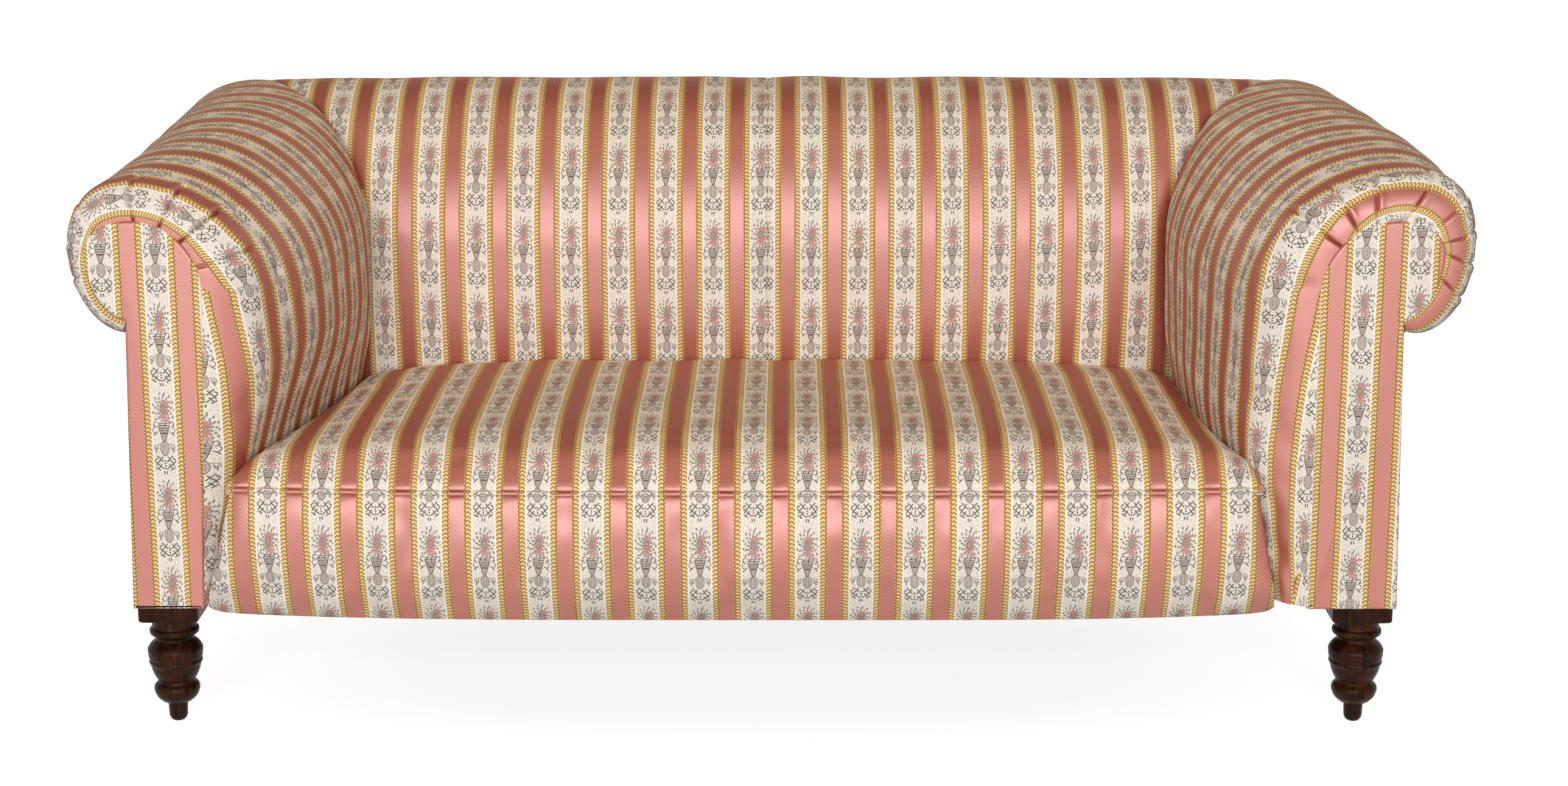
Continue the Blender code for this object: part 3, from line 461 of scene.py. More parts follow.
    def braid_colour(self, recipe: Recipe, side: Value, along: Value) -> bpy.types.NodeSocket:
        """The gold bands: chevrons of leaves with a row of dots at the satin's edge.

        Args:
            recipe: the material's tree.
            side: distance from the cream stripe's middle.
            along: height in the repeat.

        Returns:
            The band's colour.
        """
        pitch = self.repeat / round(self.repeat / self.braid_pitch)
        inset = side - self.cream_half
        slant = along + 0.8 * abs(inset - 0.45 * self.braid)
        chevron = (slant % pitch).near(pitch / 2, 0.31 * pitch, 0.6)
        dot = (inset - 0.84 * self.braid).hypot(along % pitch - pitch / 2).below(1.15, 0.5)
        colour = recipe.mix(chevron, self.pale_gold, self.gold)
        return recipe.mix(dot, colour, self.braid_dot)

    def material(self) -> bpy.types.Material:
        """Builds the cloth.

        Returns:
            A material in which glossy satin and matt figured stripes lie side by side.
        """
        recipe = Recipe("striped_satin")
        x, y, thread = self.coordinates(recipe)
        side = abs(x)
        urn, urn_lines = self.urn(side, y)
        field_mask, shield_lines = self.shield(side, y)
        flowers, petals, leaves = self.posy(recipe, x, y, thread)
        lines = urn_lines.most(shield_lines).most(self.sprays(side, x, y))
        speckle = recipe.noise(thread, self.speckle_scale, 2.0).above(0.55, 0.10)
        speckle = speckle * side.below(self.cream_half - 2.4)
        cream: Colour | bpy.types.NodeSocket = self.cream
        for mask, colour in (
            (speckle * self.speckle_share, self.taupe),
            (side.above(self.cream_half - self.edge_line), self.edge),
            (field_mask * self.field_share, self.taupe),
            (urn * self.urn_share, self.taupe),
            (leaves * self.leaf_share, self.leaf),
            (flowers * self.rose_share, self.rose),
            (petals * self.petal_share, self.petal),
            (lines * self.line_share, self.ink),
        ):
            cream = recipe.mix(mask, cream, colour)
        figured = recipe.mix(side.above(self.cream_half), cream, self.braid_colour(recipe, side, y))
        fading = recipe.noise(thread, 0.006, 2.0) * 0.16 + 0.92
        rib = recipe.noise(recipe.stretched(thread, (0.35, 2.6, 1.0)), 1.0, 2.0)
        streak = recipe.noise(recipe.stretched(thread, (1.6, 0.03, 1.0)), 1.0, 2.0)
        woven = recipe.surface({
            "Base Color": recipe.shade(figured, fading * (rib * 0.2 + 0.9)),
            "Roughness": 0.8,
            "Specular IOR Level": 0.1,
            "Normal": recipe.bump(rib, 0.0003),
        })
        satin = recipe.surface({
            "Base Color": recipe.shade(self.satin, fading * (streak * 0.24 + 0.88)),
            "Roughness": 0.7,
            "Specular IOR Level": 0.05,
        })
        floats = recipe.surface({
            "Base Color": self.sheen,
            "Roughness": streak * 0.12 + 0.42,
            "Metallic": 1.0,
            "Normal": recipe.bump(streak, 0.00012),
        })
        is_satin = side.above(self.cream_half + self.braid, 0.6)
        cloth = recipe.node("ShaderNodeMixShader", {}, {0: is_satin, 1: woven, 2: satin})
        gloss = is_satin * (self.satin_gloss - self.woven_gloss) + self.woven_gloss
        glossed = recipe.node("ShaderNodeMixShader", {}, {0: gloss, 1: cloth.outputs[0], 2: floats})
        return recipe.finish(glossed.outputs[0])


@dataclass(frozen=True)
class PolishedMahogany:
    """Dark polished wood with grain along the leg and paler orange streaks."""

    dark: Colour = linear(9, 5, 3)
    light: Colour = linear(116, 60, 25)
    grain_scale: float = 60.0

    def material(self) -> bpy.types.Material:
        """Builds the wood: streaks drawn out along the leg, paler where grain and cloudy noise run high.

        Returns:
            The new material.
        """
        recipe = Recipe("polished_mahogany")
        place = recipe.object_place()
        grain = recipe.noise(recipe.stretched(place, (1.0, 1.0, 0.07)), self.grain_scale * 3, 4.0, 0.65)
        cloud = recipe.noise(place, self.grain_scale / 2, 2.0)
        share = (grain * 1.5 + cloud * 0.8 - 0.78).math("MULTIPLY", 0.8, clamp=True) ** 1.6
        colour = recipe.mix(share, self.dark, self.light)
        scuff = recipe.noise(place, self.grain_scale * 2, 3.0)
        shader = recipe.surface({
            "Base Color": colour,
            "Roughness": scuff * 0.25 + 0.26,
            "Specular IOR Level": 0.10,
            "Normal": recipe.bump(grain, 0.0002, 0.6),
        })
        return recipe.finish(shader)


@dataclass(frozen=True)
class PlainTimber:
    """Planed frame wood, and the same wood stained for the back legs."""

    name: str = "planed_beech"
    dark: Colour = linear(150, 112, 74)
    light: Colour = linear(196, 158, 114)
    rough: float = 0.55

    def material(self) -> bpy.types.Material:
        """Builds the wood: long streaks across a cloudy ground.

        Returns:
            The new material.
        """
        recipe = Recipe(self.name)
        place = recipe.object_place()
        grain = recipe.noise(recipe.stretched(place, (9.0, 9.0, 0.8)), 14.0, 5.0, 0.6)
        fleck = recipe.noise(recipe.stretched(place, (120.0, 120.0, 12.0)), 3.0, 2.0)
        share = (grain * 1.3 + fleck * 0.5 - 0.4).math("ADD", 0.0, clamp=True)
        shader = recipe.surface({
            "Base Color": recipe.mix(share, self.dark, self.light),
            "Roughness": fleck * 0.2 + self.rough,
            "Normal": recipe.bump(grain, 0.0003),
        })
        return recipe.finish(shader)


@dataclass(frozen=True)
class PlainWeave:
    """A coarse plain cloth: canvas, webbing or lining."""

    name: str
    dark: Colour
    light: Colour
    pitch: float = 0.0016

    def material(self) -> bpy.types.Material:
        """Builds the weave: sine waves along the three axes that cross and lift each thread in turn.

        Returns:
            The new material.
        """
        recipe = Recipe(self.name)
        place = recipe.object_place()
        turn = 2 * math.pi / self.pitch
        waves = [(part * turn).sine() for part in recipe.split(place)]
        relief = waves[0] * waves[1] + waves[2] * 0.5
        slub = recipe.noise(place, 90.0, 3.0)
        share = (relief * 0.25 + slub).math("ADD", 0.0, clamp=True)
        shader = recipe.surface({
            "Base Color": recipe.mix(share, self.dark, self.light),
            "Roughness": slub * 0.1 + 0.85,
            "Normal": recipe.bump(relief, 0.0003),
        })
        return recipe.finish(shader)


@dataclass(frozen=True)
class SpringWire:
    """Copper-washed spring wire, dulled in patches."""

    bright: Colour = linear(196, 160, 120)
    dull: Colour = linear(120, 92, 66)

    def material(self) -> bpy.types.Material:
        """Builds the metal: dull patches over a bright wire.

        Returns:
            The new material.
        """
        recipe = Recipe("spring_wire")
        patch = recipe.noise(recipe.object_place(), 70.0, 3.0)
        shader = recipe.surface({
            "Base Color": recipe.mix(patch, self.bright, self.dull),
            "Roughness": patch * 0.3 + 0.3,
            "Metallic": 1.0,
        })
        return recipe.finish(shader)


def joined(rings: np.ndarray, uv: np.ndarray | None, name: str) -> bpy.types.Object:
    """Carries a closed profile along a path and makes it one mesh.

    Each ring is one place of the profile. Neighbouring rings are joined by quads, the first and
    the last ring are filled, and the faces are turned round if the enclosed volume comes out
    negative.

    Args:
        rings: points as path steps, profile points, xyz.
        uv: the cloth's thread coordinates of each point, or None.
        name: the piece's name.

    Returns:
        The new object, at the origin.
    """
    steps, size = rings.shape[:2]
    index = np.arange(steps * size).reshape(steps, size)
    low, high = index[:-1], index[1:]
    after_low, after_high = np.roll(low, -1, axis=1), np.roll(high, -1, axis=1)
    quads = np.stack((low, after_low, after_high, high), axis=-1).reshape(-1, 4)
    points = rings.reshape(-1, 3)
    a, b, c, d = (points[quads[:, k]] for k in range(4))
    centre = points.mean(axis=0)
    volume = np.einsum("ij,ij->", a - centre, np.cross(b - centre, c - centre))
    volume += np.einsum("ij,ij->", a - centre, np.cross(c - centre, d - centre))
    faces = quads.tolist() + [index[0, ::-1].tolist(), index[-1].tolist()]
    if volume < 0:
        faces = [face[::-1] for face in faces]
    mesh = bpy.data.meshes.new(name)
    mesh.from_pydata(points.tolist(), [], faces)
    if uv is not None:
        corner = np.empty(len(mesh.loops), dtype=np.int32)
        mesh.loops.foreach_get("vertex_index", corner)
        layer = mesh.uv_layers.new(name=CLOTH_MAP)
        layer.data.foreach_set("uv", uv.reshape(-1, 2)[corner].astype(np.float32).ravel())
    mesh.shade_smooth()
    mesh.set_sharp_from_angle(angle=SHARP)
    piece = bpy.data.objects.new(name, mesh)
    bpy.context.scene.collection.objects.link(piece)
    return piece


def dress(piece: bpy.types.Object, slot: str, *nodes: str) -> None:
    """Sets a new piece on the frame.

    Args:
        piece: the new piece.
        slot: not used.
        nodes: the nodes that it stands for.
    """
    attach(piece, "root")
    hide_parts(*nodes)
    LOG.info("%s stands for %s", piece.name, ", ".join(nodes))


def grid_quads(rows: int, columns: int) -> np.ndarray:
    """The faces of an open grid: four neighbouring points each.

    Args:
        rows: how many rows of points it has.
        columns: how many points are in a row.

    Returns:
        Four point numbers for each face.
    """
    index = np.arange(rows * columns).reshape(rows, columns)
    corners = (index[:-1, :-1], index[1:, :-1], index[1:, 1:], index[:-1, 1:])
    return np.stack(corners, axis=-1).reshape(-1, 4)


def normals_of(grid: np.ndarray) -> np.ndarray:
    """Unit normals of a grid of points: the cross product of its two directions."""
    direction = np.cross(np.gradient(grid, axis=0), np.gradient(grid, axis=1))
    return direction / np.maximum(np.linalg.norm(direction, axis=2, keepdims=True), 1e-12)


def outward_normals(grid: np.ndarray, at: tuple[int, int], looks: Point) -> np.ndarray:
    """Unit normals of a grid, all turned round if the one at a given point looks the wrong way.

    Args:
        grid: points as rows, columns, xyz.
        at: the row and column of a point whose outward side is known.
        looks: the direction that its normal looks along.

    Returns:
        One normal for each point.
    """
    out = normals_of(grid)
    return out * np.sign(out[at] @ np.array(looks))


def run_along(grid: np.ndarray, axis: int) -> np.ndarray:
    """Arc length along one direction of a grid.

    Args:
        grid: points as rows, columns, xyz.
        axis: the direction, 0 down the rows or 1 along them.

    Returns:
        The run at each point, from the direction's first point.
    """
    step = np.linalg.norm(np.diff(grid, axis=axis), axis=2)
    start = np.zeros_like(np.take(step, [0], axis=axis))
    return np.concatenate((start, np.cumsum(step, axis=axis)), axis=axis)


def settled(row: np.ndarray, reach: int = 9) -> np.ndarray:
    """A row of numbers with its corners softened: the mean over some neighbours on either side."""
    wide = np.pad(row, reach, mode="edge")
    return np.convolve(wide, np.full(2 * reach + 1, 1 / (2 * reach + 1)), mode="valid")


def eased(share: np.ndarray) -> np.ndarray:
    """A smooth rise from 0 to 1: three times the square less twice the cube, held at both ends."""
    held = np.clip(share, 0, 1)
    return held * held * (3 - 2 * held)


@dataclass(frozen=True)
class Unevenness:
    """The soft lumps of hand-laid stuffing: a few crossing sine waves with settled phases."""

    height: float
    length: float
    seed: int
    waves: int = 6

    def over(self, across: np.ndarray, along: np.ndarray) -> np.ndarray:
        """Relief over a cloth.

        Args:
            across: thread coordinate across the cloth, in metres.
            along: thread coordinate along it.

        Returns:
            Heights, about as large as the given height at most.
        """
        pick = np.random.default_rng(self.seed)
        bearing = pick.uniform(0, 2 * math.pi, self.waves)
        length = self.length * pick.uniform(0.7, 1.6, self.waves)
        phase = pick.uniform(0, 2 * math.pi, self.waves)
        turn = 2 * math.pi / length
        angle = np.multiply.outer(across, np.cos(bearing) * turn) + phase
        angle = angle + np.multiply.outer(along, np.sin(bearing) * turn)
        return self.height * np.sin(angle).sum(axis=-1) / math.sqrt(self.waves)


@dataclass(frozen=True)
class CoverPull:
    """How a cover settles over its stuffing: Blender's Cloth, run on a coarse copy of the cover's face.

    The stuffing is a pressure from below, gravity is off, and the sewn edges are held.
    """

    most: float
    pressure: float = 4.0
    slack: float = 0.006
    frames: int = 20
    step: float = 0.024

    def drift(self, face: np.ndarray, outward: np.ndarray) -> np.ndarray:
        """Settles a cover.

        The copy's points lie about one step apart. The way of each is capped along a hyperbolic
        tangent and carried over to the points between along cubic curves.

        Args:
            face: the plain cover as a grid of points.
            outward: unit normals away from the stuffing.

        Returns:
            How far each point moves, as a grid of vectors.
        """
        runs = (run_along(face, 0).mean(axis=1), run_along(face, 1).mean(axis=0))
        rows, columns = (self.picked(run) for run in runs)
        copy = face[np.ix_(rows, columns)]
        quads = grid_quads(*copy.shape[:2])
        if np.sum(normals_of(copy) * outward[np.ix_(rows, columns)]) < 0:
            quads = quads[:, ::-1]
        index = np.arange(len(rows) * len(columns)).reshape(copy.shape[:2])
        sewn = np.concatenate((index[[0, -1]].ravel(), index[:, [0, -1]].ravel()))
        way = self.simulated(copy.reshape(-1, 3), quads, sewn).reshape(copy.shape) - copy
        far = np.maximum(np.linalg.norm(way, axis=2, keepdims=True), 1e-9)
        way = way * self.most * np.tanh(far / self.most) / far
        for axis, known in enumerate((rows, columns)):
            way = np.apply_along_axis(self.carried, axis, way, runs[axis][known], runs[axis])
        return way

    def picked(self, run: np.ndarray) -> np.ndarray:
        """Which of a line's points the copy keeps: the ends and those about one step apart."""
        count = max(8, round(run[-1] / self.step))
        return np.unique(np.searchsorted(run, np.linspace(0, run[-1], count)).clip(0, len(run) - 1))

    def carried(self, line: np.ndarray, known: np.ndarray, run: np.ndarray) -> np.ndarray:
        """Numbers known along a line, carried over to every point along cubic curves.

        Args:
            line: the known numbers.
            known: where they lie along the line.
            run: where all points lie along it.

        Returns:
            The number at each point.
        """
        before = np.searchsorted(known, run, side="right").clip(1, len(known) - 1) - 1
        gap = known[before + 1] - known[before]
        share = ((run - known[before]) / gap).clip(0, 1)
        slope = np.gradient(line, known)
        rise = eased(share)
        lean = share * (1 - share)
        return (
            line[before] * (1 - rise) + line[before + 1] * rise
            + gap * lean * (slope[before] * (1 - share) - slope[before + 1] * share)
        )

    def simulated(self, points: np.ndarray, quads: np.ndarray, sewn: np.ndarray) -> np.ndarray:
        """Runs Cloth on a sheet and takes the sheet away again.

        Args:
            points: the sheet's points.
            quads: its faces, turned away from the stuffing.
            sewn: the points that are held.

        Returns:
            The points after the last frame.
        """
        mesh = bpy.data.meshes.new("cover_copy")
        mesh.from_pydata(points.tolist(), [], quads.tolist())
        sheet = bpy.data.objects.new("cover_copy", mesh)
        scene = bpy.context.scene
        scene.collection.objects.link(sheet)
        sheet.vertex_groups.new(name="sewn").add(sewn.tolist(), 1.0, "REPLACE")
        cloth = sheet.modifiers.new("cover", "CLOTH")
        cloth.settings.quality = 6
        cloth.settings.vertex_group_mass = "sewn"
        cloth.settings.use_pressure = True
        cloth.settings.uniform_pressure_force = self.pressure
        cloth.settings.shrink_min = -self.slack
        cloth.settings.effector_weights.gravity = 0.0
        cloth.collision_settings.use_collision = False
        cloth.point_cache.frame_end = self.frames
        for number in range(1, self.frames + 1):
            scene.frame_set(number)
        settled_mesh = sheet.evaluated_get(bpy.context.evaluated_depsgraph_get()).data
        moved = np.empty(points.size)
        settled_mesh.vertices.foreach_get("co", moved)
        bpy.data.objects.remove(sheet)
        bpy.data.meshes.remove(mesh)
        scene.frame_set(1)
        return moved.reshape(points.shape)


@dataclass(frozen=True)
class Pucker:
    """Small gathers where a cover is sewn: a swaying sine wave along the seam that fades away from it."""

    height: float
    pitch: float
    sway: float
    sway_rate: float
    fade: float
    start: float = 0.006

    def over(self, along: np.ndarray, away: np.ndarray) -> np.ndarray:
        """Relief at places along the seam and away from it, in metres."""
        wave = np.sin(along * 2 * math.pi / self.pitch + self.sway * np.sin(along * self.sway_rate))
        return self.height * wave * np.exp(-away / self.fade) * eased(away / self.start)


# Points along a section's wall, shoulder, outer side and foot
WALL_COUNT, SHOULDER_COUNT, OVER_COUNT, FOOT_COUNT = 56, 160, 240, 6
CREST = WALL_COUNT + SHOULDER_COUNT
MILLIMETRE = 0.001


@dataclass(frozen=True)
class Roll:
    """One cross-section of a rolled arm or back, as reach from the middle or the front, and height.

    The wall rises from the tuck, drawn in at the seat. A quarter ellipse carries it to the crest, a
    second one turns it over the outer side, and either is squarer where its power is over 2. A third,
    deeper one turns it under, and a short straight run ends at the foot.
    """

    wall: float
    crest: float
    outer: float
    foot: float
    tuck_z: float
    shoulder_z: float
    crest_z: float
    widest_z: float
    foot_z: float
    draw_in: float = 0.26
    draw_in_z: float = 0.43
    draw_in_soft: float = 0.03
    fullness: float = 2.0
    over_fullness: float = 2.0

    def reach_at(self, z: np.ndarray | float) -> np.ndarray:
        """How far out the inside wall lies at some heights: a soft ramp under the draw-in height."""
        below = self.draw_in_z - np.asarray(z)
        return self.wall + self.draw_in * (np.hypot(below, self.draw_in_soft) + below) / 2

    def outline(self) -> np.ndarray:
        """Works out the section.

        What is left of the draw-in at the shoulder is taken off evenly up the wall.

        Returns:
            Its points from the tuck to the foot, as rows of reach and height.
        """
        share = np.linspace(0, 1, WALL_COUNT, endpoint=False)
        rise = self.tuck_z + (self.shoulder_z - self.tuck_z) * share
        left_over = (self.reach_at(self.shoulder_z) - self.wall) * share
        wall = np.column_stack((self.reach_at(rise) - left_over, rise))
        turn = np.linspace(0, math.pi / 2, SHOULDER_COUNT, endpoint=False)
        power = 2 / self.fullness
        shoulder = np.column_stack((
            self.crest - (self.crest - self.wall) * np.cos(turn) ** power,
            self.shoulder_z + (self.crest_z - self.shoulder_z) * np.sin(turn) ** power,
        ))
        sweep = math.pi - math.asin((self.foot - self.crest) / (self.outer - self.crest))
        turn = np.linspace(0, sweep, OVER_COUNT)
        tall = np.where(turn < math.pi / 2, self.crest_z - self.widest_z, self.widest_z - self.foot_z)
        power = np.where(turn < math.pi / 2, 2 / self.over_fullness, 1.0)
        over = np.column_stack((
            self.crest + (self.outer - self.crest) * np.sin(turn) ** power,
            self.widest_z + tall * np.cos(turn) ** power,
        ))
        share = np.linspace(0, 1, FOOT_COUNT + 1)[1:, None]
        foot = over[-1] + (np.array((self.foot, self.foot_z)) - over[-1]) * share
        return np.vstack((wall, shoulder, over, foot))


@dataclass(frozen=True)
class ArmFit:
    """How one arm was stuffed by hand, as offsets from the frame. The two arms differ a little."""

    wall: float = 0.090
    draw_in: float = 0.26
    draw_in_z: float = 0.43
    outer: float = 0.0895
    crest: float = 0.075
    crest_rise: float = 0.081
    facing_wall: float = 0.028
    facing_draw_in: float = 0.035
    facing_draw_in_z: float = 0.43
    low_turn_in: float = 3.0
    turn_in: float = 3.0
    over_turn_in: float = 3.0
    over_fullness: float = 2.0
    bow: float = 1.6


@dataclass(frozen=True)
class Plan:
    """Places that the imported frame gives, and the offsets from them that all the covers share."""

    front: float
    stile_front: float
    stile_rear: float
    inner: float
    post: float
    rail_top: float
    leg: float
    fit: ArmFit
    board_cover: float = 0.012
    facing_crest: float = 0.064
    facing_outer: float = 0.051
    facing_foot: float = 0.003
    facing_rise: float = 0.033
    facing_widest: float = 0.008
    facing_drop: float = 0.096
    arm_widest: float = 0.002
    turn_in_z: float = 0.34
    turn_in_reach: float = 0.20
    arm_tuck: float = 0.178
    arm_shoulder: float = 0.058
    back_tuck: float = 0.300
    back_shoulder: float = 0.110
    back_crest: float = 0.073
    back_wall: float = 0.147
    back_outer: float = 0.098
    back_rise: float = 0.121
    back_fullness: float = 2.35
    mitre_arm_wall: float = 0.160
    mitre_arm_crest: float = 0.012
    mitre_back_wall: float = 0.142
    mitre_outer: float = 0.080
    mitre_shoulder: float = 0.070
    mitre_rise: float = 0.119
    roll_widest: float = 0.035
    foot_out: float = 0.009
    foot_drop: float = 0.117

    @classmethod
    def read(cls, fit: ArmFit) -> "Plan":
        """Measures the frame's boards and rails.

        Args:
            fit: how the arm on this side was stuffed.

        Returns:
            The places for one side of the sofa.
        """
        board_low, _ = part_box("right_scroll_board")
        rail_low, rail_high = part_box("right_arm_rail")
        crest_low, crest_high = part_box("crest_rail")
        panel_low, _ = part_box("right_outside_arm_cover")
        _, stile_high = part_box("right_back_stile")
        return cls(
            front=board_low.y - cls.board_cover,
            stile_front=crest_low.y,
            stile_rear=crest_high.y,
            inner=rail_low.x,
            post=stile_high.x,
            rail_top=rail_high.z,
            leg=panel_low.z,
            fit=fit,
        )

    def facing(self) -> Roll:
        """The scroll panel's outline."""
        return Roll(
            wall=self.inner - self.fit.facing_wall,
            crest=self.inner + self.facing_crest,
            outer=self.post + self.facing_outer,
            foot=self.post + self.facing_foot,
            tuck_z=self.arm_tuck,
            shoulder_z=self.rail_top - self.arm_shoulder,
            crest_z=self.rail_top + self.facing_rise,
            widest_z=self.rail_top - self.facing_widest,
            foot_z=self.rail_top - self.facing_drop,
            draw_in=self.fit.facing_draw_in,
            draw_in_z=self.fit.facing_draw_in_z,
        )

    def arm(self) -> Roll:
        """The arm's full section behind its front."""
        return Roll(
            wall=self.inner - self.fit.wall,
            crest=self.inner + self.fit.crest,
            outer=self.post + self.fit.outer,
            foot=self.post + self.foot_out,
            tuck_z=self.arm_tuck,
            shoulder_z=self.rail_top - self.arm_shoulder,
            crest_z=self.rail_top + self.fit.crest_rise,
            widest_z=self.rail_top - self.arm_widest,
            foot_z=self.rail_top - self.foot_drop,
            draw_in=self.fit.draw_in,
            draw_in_z=self.fit.draw_in_z,
            over_fullness=self.fit.over_fullness,
        )

    def turn_in(self, z: np.ndarray | float) -> np.ndarray:
        """The power of the arm's turning in at some heights: it changes softly above the seat."""
        rise = eased((np.asarray(z) - self.turn_in_z) / self.turn_in_reach)
        return self.fit.low_turn_in + (self.fit.turn_in - self.fit.low_turn_in) * rise

    def corner_arm(self) -> Roll:
        """The arm's section at the mitre with the back."""
        return Roll(
            wall=self.inner - self.mitre_arm_wall,
            crest=self.inner + self.mitre_arm_crest,
            outer=self.post + self.mitre_outer,
            foot=self.post + self.foot_out,
            tuck_z=self.back_tuck,
            shoulder_z=self.rail_top - self.mitre_shoulder,
            crest_z=self.rail_top + self.mitre_rise,
            widest_z=self.rail_top + self.roll_widest,
            foot_z=self.rail_top - self.foot_drop,
        )

    def corner_back(self) -> Roll:
        """The back's section at the mitre, with reach as depth: as high there as the arm's."""
        return replace(
            self.corner_arm(),
            wall=self.stile_front - self.mitre_back_wall,
            crest=self.stile_front + self.back_crest,
            outer=self.stile_rear + self.mitre_outer,
            foot=self.stile_rear + self.foot_out,
        )

    def back(self) -> Roll:
        """The back's section in the middle, with reach as depth."""
        return replace(
            self.corner_back(),
            wall=self.stile_front - self.back_wall,
            outer=self.stile_rear + self.back_outer,
            shoulder_z=self.rail_top - self.back_shoulder,
            crest_z=self.rail_top + self.back_rise,
            fullness=self.back_fullness,
        )


# Where a pad's inner corners lie between its foot and its tuck, and how far under the rail's top
CORE_SHARES, CORE_DROP = (0.3, 0.7), 0.06


def core_of(face: np.ndarray, top: float) -> np.ndarray:
    """The hidden inner side of a pad: up from its foot, across below the rail's top and down to its tuck.

    Args:
        face: the pad's face, from the tuck to the foot and then along its path.
        top: height of the rail that the pad wraps.

    Returns:
        Points as steps, two corners, xyz.
    """
    tuck, foot = face[0], face[-1]
    corners = np.stack([foot + share * (tuck - foot) for share in CORE_SHARES], axis=1)
    corners[..., 2] = top - CORE_DROP
    return corners


def upholstered(name: str, face: np.ndarray, threads: np.ndarray, hidden: np.ndarray,
                cloth: bpy.types.Material, side: Side = Side.RIGHT) -> bpy.types.Object:
    """Closes a cover's face with the hidden side of its pad.

    Args:
        name: the piece's name.
        face: the cover as section, path, xyz, as it lies on the right.
        threads: its cloth coordinates.
        hidden: points that close each section.
        cloth: its material.
        side: the half of the sofa that it is for.

    Returns:
        The new piece.
    """
    rings = np.concatenate((np.swapaxes(face, 0, 1), hidden), axis=1) * (side.value, 1, 1)
    uv = np.concatenate((np.swapaxes(threads, 0, 1), np.zeros((*hidden.shape[:2], 2))), axis=1)
    piece = joined(rings, uv, name)
    piece.data.materials.append(cloth)
    return piece


